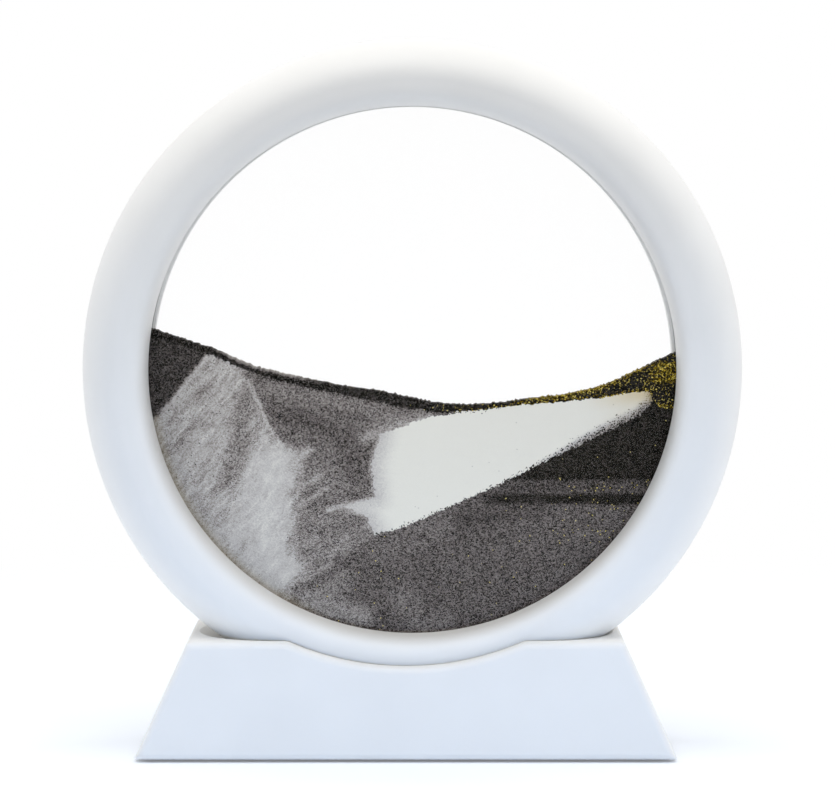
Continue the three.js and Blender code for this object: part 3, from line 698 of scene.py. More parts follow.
def make_cell():
    """Panes, gaskets and seals, front and rear, and the spacer ring with its filler neck."""
    pane_rim = GLASS_RADIUS - GLASS_EDGE
    pane = [
        (0, GLASS_INSIDE), (pane_rim, GLASS_INSIDE), (GLASS_RADIUS, GLASS_INSIDE + GLASS_EDGE),
        (GLASS_RADIUS, GLASS_OUTSIDE - GLASS_EDGE), (pane_rim, GLASS_OUTSIDE), (0, GLASS_OUTSIDE)]
    gasket = washer(GASKET_INSIDE, GASKET_HIGH[0], GLASS_OUTSIDE, LIP_SEAT)
    seal = washer(SPACER_INSIDE, GLASS_RADIUS, -SEAL_HIGH[1], -SEAL_LOW[1])
    layers = [("glass", pane, GLASS, "glass"), ("gasket", gasket, SILICONE, "silicone"),
              ("seal", seal, SILICONE, "silicone")]
    for end, side in (("front", -1), ("rear", 1)):
        for kind, section, finish, slot in layers:
            name = f"{end}_{kind}"
            mesh = turned(name, [(radius, side * y) for radius, y in section], finish)
            piece(f"fine_{name}", smooth(mesh), finish, "frame", [name])
    half = -SEAL_HIGH[1]
    spacer = turned("spacer_ring", washer(SPACER_INSIDE, GLASS_RADIUS, -half, half), WHITE_ABS)
    neck_top = PLUG_HIGH[2] - PLUG_HEAD_HEIGHT - PLUG_CLEARANCE
    rim = CENTRE[2] + GLASS_RADIUS
    axis = CENTRE[:2]
    stem_foot = PLUG_LOW[2] - PLUG_CLEARANCE
    stem_room = PLUG_STEM_RADIUS + PLUG_CLEARANCE
    tools = [
        ("UNION", block("web", (-NECK_RADIUS, -half, rim - half), (NECK_RADIUS, half, rim + half))),
        ("UNION", rod("neck", axis, rim + PLUG_CLEARANCE, neck_top, NECK_RADIUS)),
        ("DIFFERENCE", rod("stem_room", axis, stem_foot, neck_top + half, stem_room)),
        ("DIFFERENCE", rod("filler_hole", axis, rim - 2 * half, PLUG_LOW[2], FILLER_RADIUS))]
    for operation, tool in tools:
        spacer = cut(spacer, tool, operation)
    piece("fine_spacer_ring", smooth(spacer), WHITE_ABS, "frame", ["spacer_ring"])


make_ring()
make_plug()
make_cell()


# Sand: outlines as shares of SAND_RADIUS, x to the right and z up from the ring's centre
HEAP_TOP = [
    (-1.15, 0.214), (-0.99, 0.156), (-0.77, 0.083), (-0.575, 0.003), (-0.28, -0.06), (-0.133, -0.08),
    (0.161, -0.133), (0.457, -0.109), (0.7, -0.066), (0.897, 0.021), (1.15, 0.13)]
CRUST_FOOT = [
    (-1.15, 0.185), (-0.99, 0.13), (-0.78, 0.065), (-0.575, -0.018), (-0.28, -0.09), (-0.133, -0.119),
    (0.03, -0.15), (0.161, -0.16), (0.42, -0.132), (0.7, -0.107), (0.88, -0.082), (0.94, -0.14),
    (1.15, -0.17)]
DRIFT_START = 0.161
BANK_ZONE = [(-0.78, 0.3), (-0.78, 0.06), (-1.14, -0.45), (-1.3, -0.45), (-1.3, 0.3)]
SLOPE_ZONE = [
    (-0.63, 0.3), (-0.63, -0.02), (-0.567, -0.16), (-0.517, -0.262), (-0.404, -0.312), (-0.43, -0.425),
    (-0.434, -0.538), (-0.46, -0.67), (-0.39, -0.76), (-0.46, -0.83), (-0.38, -1.3), (-1.3, -1.3),
    (-1.3, 0.3)]
WEDGE_ZONE = [
    (0.16, 0.1), (0.16, -0.165), (0.07, -0.175), (-0.12, -0.244), (-0.155, -0.357), (-0.14, -0.481),
    (-0.253, -0.519), (-0.173, -0.557), (-0.14, -0.624), (-0.045, -0.602), (0.143, -0.519), (0.332, -0.433),
    (0.52, -0.338), (0.709, -0.247), (0.86, -0.169), (0.905, -0.12), (0.905, 0.1)]
WEDGE_SOFT_EDGE = slice(2, 9)  # the part of the wedge's outline where white runs into grey
WEDGE_LEFT_EDGE = slice(3, 9)  # the part from which the white slowly gains
WEDGE_HARD_EDGE = slice(8, 17)  # the part against the bed, where black grains stray into the white
BED_ZONE = [
    (-0.6, -0.72), (-0.42, -0.745), (-0.272, -0.7), (-0.14, -0.62), (0.3, -0.3), (0.9, 0), (1.3, 0.1),
    (1.3, -1.3), (-0.6, -1.3)]

# Streaks that the sand left as it ran: points from the ring's centre, half width, tone and strength
SLOPE_STREAKS = [
    ([(-65, -9), (-63, -17), (-56, -33), (-46, -46)], 3.5, 0.625, 0.4),
    ([(-51, 1.5), (-57, -6)], 1.2, 0.54, 0.7),
    ([(-51, -4), (-60, -13)], 1.4, 0.53, 0.7),
    ([(-53, -13), (-61, -21)], 2, 0.53, 0.7),
    ([(-42, -8), (-42.5, -14), (-43.5, -20), (-45.4, -28)], 4.2, 0.45, 0.9),
    ([(-38.5, -14), (-40, -19)], 2, 0.54, 0.6),
    ([(-33.5, -24), (-36, -29), (-36, -36), (-38, -42), (-33, -51)], 10.5, 0.742, 1),
    ([(-42, -33.5), (-43, -40), (-46.5, -42)], 7.5, 0.72, 0.6),
    ([(-47, -26), (-53, -35)], 1.3, 0.57, 0.7),
    ([(-44, -30), (-47.5, -37)], 1.2, 0.61, 0.7),
    ([(-42, -44), (-46, -50)], 1.2, 0.61, 0.6),
    ([(-32, -58), (-26, -56)], 4, 0.51, 0.7),
]
MIX_STREAKS = [
    ([(-36, -4.6), (-28, -6.6), (-15, -9.6), (-3, -12), (4, -12.3)], 2.6, 0.445, 0.9),
    ([(-36, -8.5), (-27, -9.5)], 1.6, 0.35, 0.8),
    ([(-36, -11.5), (-27, -12.5), (-19, -16)], 3.4, 0.295, 0.95),
    ([(-23, -9.6), (-13, -11.6)], 1.6, 0.33, 0.6),
    ([(-16, -18), (-14.5, -25)], 5, 0.32, 0.95),
    ([(-26, -25), (-18, -29)], 4, 0.46, 0.6),
    ([(1, -13.2), (-8, -15.5), (-12, -17)], 2.6, 0.58, 0.85),
    ([(-26, -43), (-19, -40), (-13, -37)], 3, 0.405, 0.9),
    ([(-29, -52), (-21, -48.6), (-12, -44.8)], 2.6, 0.52, 0.9),
]
BED_STREAKS = [
    ([(-31, -57), (-24, -57), (-18, -53)], 5, 0.47, 0.8),
    ([(-26, -58.5), (-13, -62)], 4.5, 0.535, 0.95),
    ([(-2, -58), (2, -64), (8, -64)], 5, 0.42, 0.7),
    ([(-9, -57), (-8.5, -65)], 1, 0.34, 0.7),
    ([(-8, -45), (0, -42), (8, -38.5)], 5, 0.38, 0.8),
    ([(12, -38), (32, -34.5)], 3.5, 0.24, 0.75),
    ([(36, -42), (52, -38)], 5, 0.325, 0.7),
]
# Fine lines over these: the slope's edge along the bank, a thin run of white and feathers into the grey
FINE_STREAKS = [
    ([(-49.6, 4.4), (-53.6, -0.4), (-60, -8.3)], 0.8, 0.69, 0.6),
    ([(-41, -3), (-38.3, -8.7), (-35.9, -14.5), (-32.5, -19)], 0.8, 0.68, 0.95),
    ([(-31, -25), (-25.6, -19.7)], 1.4, 0.64, 0.85),
    ([(-30.5, -31), (-24, -27)], 1.8, 0.63, 0.85),
    ([(-29, -34.4), (-21.4, -29.8)], 1.2, 0.6, 0.8),
    ([(-21, -35), (-16, -33.9), (-10, -33.6)], 1.2, 0.68, 0.95),
    ([(-31, -46), (-24.2, -42.3)], 1.5, 0.61, 0.75),
    ([(-27.1, -52.8), (-20.9, -49)], 1.6, 0.58, 0.7),
]
SLOPE_RUN = (0.6, 0.8)  # the way that the slope's streaks run
MIX_TURN = -17  # height where the run of the grey mix changes
MIX_RUNS = (-0.25, 0.55)  # slopes of its streaks above and below that
BED_TURN = -44  # height below which the bed's streaks hang down

# Tones of the sands, as shares of white, with heights and places from the ring's centre
SLOPE_TONE = 0.645
MIX_TONE = 0.385
LOW_MIX_TONE = 0.475
MIX_STEP = (-31, -38)  # heights between which the mix turns paler
MIX_EDGE_TONE = 0.6  # of the mix where it meets the soft edge of the wedge
BED_TONE = 0.315
BED_TOP_TONE = 0.105
BED_BAND_TONE = 0.25  # just under the black top
BED_STEP = -27.9  # height where the bed turns from black to grey
BED_BLUR = 0.7  # half the height over which it does
BED_LINE = -32.5  # height of a thin darker line in the bed
WEDGE_TONE = 0.84
SOFT_TONE = 0.72  # of the wedge along its soft edge
BANK_TONE = 0.205
BANK_EDGE = [(-51.7, 3.9), (-64.7, -12.2)]  # line between bank and slope
CRUST_TONE = 0.07
DRIFT_TONE = 0.075
DUST_TONE = 0.78  # of the pale dust along the heap's top
DUST_SHARES = (0.5, 1)  # how much of it lies at the front and at the back
DUST_REACH = (-52, -46, -30, -19)  # where the dust starts, is full, thins and ends
BACK_RISE = 0.3  # how much higher the heap's top is at the back there
WATER_GAP = 0.03  # between the sand and the water's own surface
SPECKLES = [  # tone, and how much the grains differ there
    (0.1, 0.45), (0.3, 0.55), (0.45, 0.52), (0.62, 0.3), (0.72, 0.12), (0.8, 0.04), (0.84, 0.012)]
CRUST_SPECKLE = 0.75  # how much the crust's dark grains differ
DUST_START_TONE = 0.3  # crust that is paler than this counts as dust
FLAKED_SANDS = {"gold_sand_drift": 1, "black_sand_crust": 0.6, "black_sand_bed": 0.5}  # with shares of flakes

# Single dark grains in the white wedge, from the ring's centre
STRAY_GRAINS = [
    (-10.5, -33.9), (0.7, -34.4), (1.5, -34.7), (6.2, -31.7), (15, -24.2), (19.2, -23.2), (21.7, -25.4),
    (26, -13.2), (26.2, -19.9), (39.5, -17.2), (50.3, -8.7)]


def spline(points, step):
    """Points every step along a smooth curve through the given ones."""
    points = np.array(points, float)
    last = len(points) - 1
    dense = []
    for i in range(last):
        before, start, end, after = [points[min(max(i + k, 0), last)] for k in (-1, 0, 1, 2)]
        for t in np.linspace(0, 1, SPLINE_STEPS, endpoint=False):
            dense.append(0.5 * (
                2 * start + (end - before) * t + (2 * before - 5 * start + 4 * end - after) * t ** 2
                + (3 * start - before - 3 * end + after) * t ** 3))
    dense.append(points[-1])
    return resampled(dense, step)


def resampled(points, step):
    """Points every step along a line of straight stretches."""
    points = np.array(points, float)
    along = np.concatenate([[0], np.cumsum(np.linalg.norm(np.diff(points, axis=0), axis=1))])
    places = np.linspace(0, along[-1], max(2, round(along[-1] / step)) + 1)
    return np.column_stack([np.interp(places, along, points[:, axis]) for axis in (0, 1)])


def roughened(points, amount, chance):
    """The line with single grains standing out of it. Its ends stay."""
    shift = chance.normal(0, amount, points.shape)
    shift[[0, -1]] = 0
    return points + np.clip(shift, -2 * amount, 2 * amount)


def closed(points):
    return [*points, points[0]]


def inside(outline, points):
    """Which points lie inside an outline."""
    result = np.zeros(len(points), bool)
    for (x0, z0), (x1, z1) in zip(outline, np.roll(outline, -1, axis=0)):
        if z0 != z1:
            crosses = (z0 > points[:, 1]) != (z1 > points[:, 1])
            result ^= crosses & (points[:, 0] < x0 + (points[:, 1] - z0) * (x1 - x0) / (z1 - z0))
    return result


def distance(line, points):
    """Distance of each point from a line of straight stretches."""
    nearest = np.full(len(points), np.inf)
    for start, end in zip(np.array(line[:-1], float), np.array(line[1:], float)):
        along = end - start
        share = np.clip((points - start) @ along / max(along @ along, 1e-12), 0, 1)
        nearest = np.minimum(nearest, np.linalg.norm(points - start - share[:, None] * along, axis=1))
    return nearest


def ramp(low, high, values):
    """Smooth step from 0 at low to 1 at high."""
    share = np.clip((values - low) / (high - low), 0, 1)
    return share * share * (3 - 2 * share)


def band(start, full, thin, end, values):
    """Smooth rise from 0 at start to 1 at full, and fall to 0 again from thin to end."""
    return ramp(start, full, values) * (1 - ramp(thin, end, values))


def depth_inside(outline, points):
    """Distance from an outline, positive inside it."""
    return np.where(inside(outline, points), 1, -1) * distance(closed(outline), points)


def clouds(points, width, side, salt):
    """Smooth noise from -1 to 1, in patches of a width. Front and rear differ, and so do the salts."""
    return np.array([noise.noise((x / width + salt, z / width, REAR_SHIFT * side + salt)) for x, z in points])


def streaked(tone, points, streaks):
    """Lays streaks of another tone, soft at their sides, over a field of tones."""
    for line, half_width, streak_tone, strength in streaks:
        share = strength * (1 - ramp(0.1 * half_width, 1.1 * half_width, distance(spline(line, 1), points)))
        tone = tone + share * (streak_tone - tone)
    return tone


class SandOutlines:
    """The roughened lines between the sands, in millimetres from the ring's centre."""

    def __init__(self):
        chance = np.random.default_rng(SEED)
        in_mm = lambda points: np.array(points) * SAND_RADIUS
        rough = lambda points: roughened(points, LINE_ROUGHNESS, chance)
        self.top = roughened(spline(in_mm(HEAP_TOP), LINE_STEP), TOP_ROUGHNESS, chance)
        self.foot = rough(spline(in_mm(CRUST_FOOT), LINE_STEP))
        self.bank, self.slope, self.wedge, self.bed = [
            rough(resampled(closed(in_mm(zone)), LINE_STEP))[:-1]
            for zone in (BANK_ZONE, SLOPE_ZONE, WEDGE_ZONE, BED_ZONE)]
        angles = np.linspace(0, 2 * math.pi, round(2 * math.pi * SAND_RIM / RIM_STEP), endpoint=False)
        self.rim = SAND_RIM * np.column_stack([np.cos(angles), np.sin(angles)])
        self.wedge_soft = in_mm(WEDGE_ZONE)[WEDGE_SOFT_EDGE]
        self.wedge_left = in_mm(WEDGE_ZONE)[WEDGE_LEFT_EDGE]
        self.wedge_hard = in_mm(WEDGE_ZONE)[WEDGE_HARD_EDGE]
        self.plain = {name: in_mm(zone) for name, zone in (("slope", SLOPE_ZONE), ("bed", BED_ZONE))}


def height_of(line, x):
    """Height of a line that runs from left to right, at each x."""
    order = np.argsort(line[:, 0], kind="stable")
    return np.interp(x, line[order, 0], line[order, 1])


LINES = SandOutlines()
SANDS = {
    "black_sand_crust": "black_sand", "gold_sand_drift": "gold_sand", "black_sand_bank": "black_sand",
    "white_sand_slope": "pale_sand", "grey_sand_mix": "grey_sand", "white_sand_wedge": "white_sand",
    "black_sand_bed": "black_sand"}


def zone_names(points):
    """The name of the sand, or water, at each point."""
    names = np.full(len(points), "grey_sand_mix", dtype="<U20")
    names[inside(LINES.bed, points)] = "black_sand_bed"
    names[inside(LINES.wedge, points)] = "white_sand_wedge"
    names[inside(LINES.slope, points)] = "white_sand_slope"
    names[inside(LINES.bank, points)] = "black_sand_bank"
    above_foot = points[:, 1] > height_of(LINES.foot, points[:, 0])
    start = DRIFT_START * SAND_RADIUS
    names[above_foot & (points[:, 0] <= start)] = "black_sand_crust"
    names[above_foot & (points[:, 0] > start)] = "gold_sand_drift"
    names[points[:, 1] > height_of(LINES.top, points[:, 0])] = "water_fill"
    return names


def dusty(x):
    """Share of pale dust on the heap's top."""
    return band(*DUST_REACH, x)


def bed_tones(points, side):
    """Tone of the bed: black at its top, grey below, with a thin dark line at the right."""
    x, z = points.T
    tone = BED_TONE + 0.02 * clouds(points, 9, side, 3)
    wavy_height = z + 0.3 * clouds(points, 4, side, 4)
    tone += (BED_TOP_TONE - tone) * ramp(BED_STEP - BED_BLUR, BED_STEP + BED_BLUR, wavy_height)
    in_band = band(BED_LINE + 0.6, BED_LINE + 1.6, BED_STEP - BED_BLUR, BED_STEP + BED_BLUR, z)
    tone += (BED_BAND_TONE - tone) * in_band
    line = (1 - ramp(0.7, 1.8, np.abs(z - BED_LINE))) * ramp(14, 24, x)
    return tone + (BED_TOP_TONE - tone) * line


def below(line, points):
    """Signed distance from a line that runs to the left: positive on its lower right side."""
    start, end = np.array(line[0], float), np.array(line[-1], float)
    along = (end - start) / np.linalg.norm(end - start)
    away = points - start
    return away[:, 0] * -along[1] + away[:, 1] * along[0]


def flow_of(points, zone, tone, side):
    """Where each point lies across and along the sand's flow, and how strong its streaks are."""
    x, z = points.T
    across, along = z, x
    strength = np.full(len(points), 0.02)
    if zone in ("white_sand_slope", "black_sand_bank"):
        run_x, run_z = SLOPE_RUN
        waver = 1.5 * clouds(points, 11, side, 6) + 0.9 * clouds(points, 4, side, 14)
        across = run_z * x - run_x * z + waver
        along = run_x * x + run_z * z
        strength = 0.44 - 0.28 * ramp(0.66, 0.73, tone) - 0.3 * (1 - ramp(0.25, 0.4, tone))
    elif zone == "grey_sand_mix":
        upper_run, lower_run = MIX_RUNS
        across = z - np.where(z < MIX_TURN, lower_run, upper_run) * x
        upper_share = ramp(MIX_TURN, MIX_TURN + 3, z)
        lower_share = 1 - ramp(MIX_TURN - 3, MIX_TURN + 1, z)
        strength = 0.2 * upper_share + 0.28 * lower_share
    elif zone == "black_sand_bed":
        hangs = z < BED_TURN
        across, along = np.where(hangs, x, z), np.where(hangs, z, x)
        strength = 0.12 * np.abs(2 * ramp(BED_TURN, BED_TURN - 10, z) - 1)
    return np.column_stack([across / STREAK_WIDTH, along / STREAK_LENGTH, strength])


def ground_tones(points, side):
    """Tone of the bank, slope, mix and bed, which run softly into each other."""
    mix = MIX_TONE + (LOW_MIX_TONE - MIX_TONE) * ramp(*MIX_STEP, points[:, 1])
    mix = streaked(mix + 0.02 * clouds(points, 6, side, 8), points, MIX_STREAKS)
    near_wedge = 1 - ramp(0, 1.2, distance(LINES.wedge_soft, points))
    mix += near_wedge * np.maximum(MIX_EDGE_TONE - mix, 0)
    slope = streaked(SLOPE_TONE + 0.02 * clouds(points, 7, side, 5), points, SLOPE_STREAKS)
    slope += 0.035 * clouds(points, 2.4, side, 9) + 0.025 * clouds(points, 5, side, 13)
    bed = streaked(bed_tones(points, side), points, BED_STREAKS)
    bank = BANK_TONE + 0.02 * clouds(points, 5, side, 2)
    in_bed = ramp(-1.5, 2.5, depth_inside(LINES.plain["bed"], points))
    in_slope = ramp(-2.2, 2.4, depth_inside(LINES.plain["slope"], points) + clouds(points, 2.2, side, 10))
    in_bank = 1 - ramp(-0.5, 0.7, below(BANK_EDGE, points) + 0.4 * clouds(points, 1, side, 11))
    tone = mix + in_bed * (bed - mix)
    tone += in_slope * (slope - tone)
    tone = streaked(tone, points + 0.35 * clouds(points, 0.9, side, 12)[:, None], FINE_STREAKS)
    return tone + in_bank * (bank - tone)


def crust_tones(points, side):
    """Tone of the crust: near black, with pale dust along its top."""
    x, z = points.T
    tone = CRUST_TONE + 0.02 * clouds(points, 3, side, 1)
    on_top = 1 - ramp(0, 0.3, height_of(LINES.top, x) - z)
    return tone + DUST_SHARES[side] * on_top * dusty(x) * (DUST_TONE - tone)


def wedge_fields(points, side):
    """Tone, warmth and share of stray grains in the wedge: greyer along its soft edge, warm under the drift,
    with black grains strayed in from the bed and the crust."""
    x, z = points.T
    under_foot = height_of(LINES.foot, x) - z
    rightward = ramp(26, 48, x)
    full_white = ramp(-1.5, 6, distance(LINES.wedge_left, points))
    tone = SOFT_TONE + (WEDGE_TONE - SOFT_TONE) * full_white + 0.004 * clouds(points, 12, side, 2)
    reach = 0.9 + 2.4 * rightward
    near_bed = (1 - ramp(0, 1, distance(LINES.wedge_hard, points) / reach)) ** 1.5
    tone -= 0.3 * near_bed * rightward
    warmth = 0.5 * ramp(40, 60, x) * (1 - ramp(0.5, 4, under_foot))
    warmth += 0.2 * ramp(44, 58, x) * (1 - near_bed)
    stray = 0.45 * near_bed + 0.35 * (1 - ramp(0, 0.7, under_foot)) * (1 - ramp(10, 30, x))
    return tone, warmth, stray


def ground_fields(points, side):
    """Tone, warmth and share of stray grains in the bank, slope, mix and bed: warm at the rim on the left,
    with black grains strayed in from the crust and a few in the slope."""
    x, z = points.T
    under_foot = height_of(LINES.foot, x) - z
    tone = ground_tones(points, side)
    near_rim = ramp(SAND_RIM - 3.8, SAND_RIM - 1.3, np.linalg.norm(points, axis=1))
    warmth = 0.16 * near_rim * ramp(-20, -32, x) * ramp(0.35, 0.5, tone)
    stray = 0.35 * (1 - ramp(0, 0.6, under_foot)) + 0.006 * band(0.5, 0.56, 0.68, 0.72, tone)
    return tone, warmth, stray


def gold_shares(points, zone):
    """Share of gold grains."""
    x, z = points.T
    if zone == "black_sand_crust":
        return 0.03 * ramp(-2, 10, x)
    if zone == "gold_sand_drift":
        under_top = height_of(LINES.top, x) - z
        over_foot = z - height_of(LINES.foot, x)
        middle = 0.05 + 0.14 * band(20, 32, 44, 50, x)
        upper_rim = 0.7 * band(24, 36, 57, 60, x) * (1 - ramp(0.2, 0.7, under_top))
        lower_rim = 0.5 * band(42, 48, 58, 61, x) * (1 - ramp(0.2, 0.6, over_foot))
        clumps = 0.7 * band(-4.2, -2.6, 1.2, 2.4, z) + 0.75 * ramp(-8.2, -9.2, z)
        return middle + upper_rim + lower_rim + clumps * ramp(58, 62, x)
    if zone == "black_sand_bed":
        return 0.0008 + 0.006 * ramp(30, 40, x) * band(-48, -42, -30, -26, z)
    return np.zeros(len(points))


def sand_fields(points, zone, side):
    """What the sand's finish needs to know at each point of one sand, at its front or at its back."""
    warmth, stray = np.zeros((2, len(points)))
    if zone == "black_sand_crust":
        tone = crust_tones(points, side)
    elif zone == "gold_sand_drift":
        tone = DRIFT_TONE + 0.02 * clouds(points, 3, side, 1)
    elif zone == "white_sand_wedge":
        tone, warmth, stray = wedge_fields(points, side)
    else:
        tone, warmth, stray = ground_fields(points, side)
    speckle = np.interp(tone, *np.transpose(SPECKLES))
    if zone == "black_sand_crust":
        speckle = np.where(tone < DUST_START_TONE, CRUST_SPECKLE, speckle)
    return {
        "tone": tone, "speckle": speckle, "stray": stray, "warmth": warmth,
        "gold": np.clip(gold_shares(points, zone), 0, 1), "flow": flow_of(points, zone, tone, side)}


def sand_triangles():
    """Points and triangles that fill the cell, split along every line between two sands."""
    start = DRIFT_START * SAND_RADIUS
    drift_line = np.array([
        (start, height_of(LINES.foot, start)), (start, height_of(LINES.top, start))])
    zones = (LINES.bank, LINES.slope, LINES.wedge, LINES.bed, LINES.rim)
    lines = [LINES.top, LINES.foot, drift_line, *(np.array(closed(list(line))) for line in zones)]
    points, edges = [], []
    for line in lines:
        first = len(points)
        points += line.tolist()
        edges += [(first + i, first + i + 1) for i in range(len(line) - 1)]
    row_height = MESH_STEP * math.sqrt(3) / 2
    rows = np.arange(-SAND_RIM, LINES.top[:, 1].max(), row_height)
    grid = np.array([
        (x + MESH_STEP / 2 * (row % 2), z)
        for row, z in enumerate(rows) for x in np.arange(-SAND_RIM, SAND_RIM, MESH_STEP)])
    in_sand = np.linalg.norm(grid, axis=1) < SAND_RIM - MESH_STEP / 2
    in_sand &= grid[:, 1] < height_of(LINES.top, grid[:, 0]) - MESH_STEP / 3
    points += grid[in_sand].tolist()
    whole_hull, tolerance = 0, 1e-5
    corners, _, triangles, *_ = geometry.delaunay_2d_cdt(
        [Vector(point) for point in points], edges, [], whole_hull, tolerance)
    corners = np.array(corners)
    triangles = np.array(triangles)
    middles = corners[triangles].mean(axis=1)
    kept = np.linalg.norm(middles, axis=1) < SAND_RIM * RIM_LIMIT
    return corners, triangles[kept], zone_names(middles[kept])


def slab_of(name, corners, triangles, lift=0):
    """A closed slab across the cell over triangles in its plane, and the plane's points it was made from.
    A lift raises it off the top of the heap."""
    used, local = np.unique(triangles, return_inverse=True)
    local = local.reshape(-1, 3)
    flat = corners[used]
    area = np.cross(flat[local[:, 1]] - flat[local[:, 0]], flat[local[:, 2]] - flat[local[:, 0]])
    local[area < 0] = local[area < 0][:, ::-1]
    count = len(used)
    sides = {}
    for a, b, c in local:
        for edge in ((a, b), (b, c), (c, a)):
            sides[edge] = True
    rims = [edge for edge in sides if edge[::-1] not in sides]
    on_top = np.abs(flat[:, 1] - height_of(LINES.top, flat[:, 0])) < WELD
    front = flat[:, 1] + lift * on_top
    back = front + BACK_RISE * dusty(flat[:, 0]) * on_top
    points = [
        (CENTRE[0] + x, y, CENTRE[2] + z)
        for y, heights in ((-SAND_HALF, front), (SAND_HALF, back)) for x, z in zip(flat[:, 0], heights)]
    faces = [tuple(t) for t in local] + [tuple(t[::-1] + count) for t in local]
    faces += [(b, a, a + count, b + count) for a, b in rims]
    return mesh_of(name, points, faces), flat


def make_sand():
    corners, triangles, names = sand_triangles()
    made = {}
    for name, slot in SANDS.items():
        mesh, flat = slab_of(name, corners, triangles[names == name])
        front, rear = sand_fields(flat, name, 0), sand_fields(flat, name, 1)
        for field in front:
            values = np.concatenate([front[field], rear[field]]).astype(np.float32)
            kind, key = ("FLOAT_VECTOR", "vector") if values.ndim > 1 else ("FLOAT", "value")
            mesh.attributes.new(field, kind, "POINT").data.foreach_set(key, values.ravel())
        made[name] = piece(f"fine_{name}", mesh, SAND, "sand", [name])
    water, _ = slab_of("water_fill", corners, triangles[names == "water_fill"], WATER_GAP)
    piece("fine_water_fill", water, WATER, "sand", ["water_fill"])
    film = turned("water_film", washer(FILM_INSIDE, FILM_HIGH[0], FILM_LOW[1], FILM_HIGH[1]), WATER)
    piece("fine_water_film", smooth(film), WATER, "water", ["water_film"])
    return made


def surface_with_share(thing, share_of):
    """A copy of a sand's mesh with the share of flakes or grains at each point."""
    mesh = thing.data.copy()
    gold = np.zeros(len(mesh.vertices), np.float32)
    mesh.attributes["gold"].data.foreach_get("value", gold)
    places = np.zeros(len(mesh.vertices) * 3, np.float32)
    mesh.vertices.foreach_get("co", places)
    share = share_of(places.reshape(-1, 3) / MM - CENTRE, gold).astype(np.float32)
    mesh.attributes.new("share", "FLOAT", "POINT").data.foreach_set("value", share)
    return mesh


def joined(meshes):
    """Several meshes as one."""
    shape = bmesh.new()
    for mesh in meshes:
        shape.from_mesh(mesh)
    return finished(shape, "joined")


def top_faces(mesh):
    """Only the faces of a mesh that look up."""
    shape = bmesh.new()
    shape.from_mesh(mesh)
    low = [face for face in shape.faces if face.normal.z < LOOKS_UP]
    bmesh.ops.delete(shape, geom=low, context="FACES")
    shape.to_mesh(mesh)
    shape.free()
    return mesh


def stray_grain_mesh():
    """A rough round grain."""
    shape = bmesh.new()
    bmesh.ops.create_icosphere(shape, subdivisions=1, radius=GRAIN / 2 * MM)
    return finished(shape, "stray_grain")


def crust_grain_share(places, gold):
    """Loose dark grains lie where neither gold nor pale dust covers the top of the heap."""
    return np.clip(1 - 2 * gold, 0, 1) * (1 - dusty(places[:, 0]))


def make_loose_grains(sands):
    """Gold flakes, loose grains along the heap's top, and stray grains in the white."""
    flaked = [
        surface_with_share(sands[name], lambda places, gold, part=part: part * gold)
        for name, part in FLAKED_SANDS.items()]
    flakes = run_tree(
        SCATTER_FLAKES, joined(flaked), density=FLAKE_COUNT / MM ** 2, size=FLAKE * MM, tilt=FLAKE_TILT,
        seed=SEED, finish=GLITTER)
    piece("gold_flakes", flakes, GLITTER, "sand")
    tops = [
        top_faces(surface_with_share(sands[name], crust_grain_share))
        for name in ("black_sand_crust", "gold_sand_drift")]
    heap_top = joined(tops)
    # Drawn in a little, so that the grains stay clear of the glass
    heap_top.transform(Matrix.Scale(1 - GRAIN / SAND_HALF, 4, (0, 1, 0)))
    grains = run_tree(
        SCATTER_GRAINS, heap_top, density=LOOSE_COUNT / MM ** 2, size=LOOSE_GRAIN * MM, tilt=LOOSE_TILT,
        seed=SEED, finish=LOOSE_SAND)
    piece("crust_grains", grains, LOOSE_SAND, "sand")
    depth = SAND_HALF - GRAIN / 4
    places = [(CENTRE[0] + x, side * depth, CENTRE[2] + z) for side in (-1, 1) for x, z in STRAY_GRAINS]
    set_out("stray_grains", stray_grain_mesh(), places, LOOSE_SAND, "sand")


SAND_PIECES = make_sand()
make_loose_grains(SAND_PIECES)


# Base

def inset(outline, amount):
    """The outline moved inwards: each corner goes to where its two moved edges meet."""
    outline = np.array(outline, float)
    ahead = np.roll(outline, -1, axis=0) - outline
    ahead /= np.linalg.norm(ahead, axis=1)[:, None]
    turned_left = np.column_stack([-ahead[:, 1], ahead[:, 0]])
    mitre = turned_left + np.roll(turned_left, 1, axis=0)
    return outline + mitre * (2 * amount / (mitre ** 2).sum(axis=1))[:, None]


def softened(outline, radius):
    """The outline with its clear corners rounded, each by a curve that starts a radius from it."""
    result = []
    for i, point in enumerate(outline):
        before, after = [outline[(i + k) % len(outline)] - point for k in (-1, 1)]
        before /= np.linalg.norm(before)
        after /= np.linalg.norm(after)
        if before @ after < NEARLY_STRAIGHT:
            result.append(point)
            continue
        for t in np.linspace(0, 1, EDGE_STEPS):
            result.append(point + (1 - t) ** 2 * radius * before + t ** 2 * radius * after)
    return result


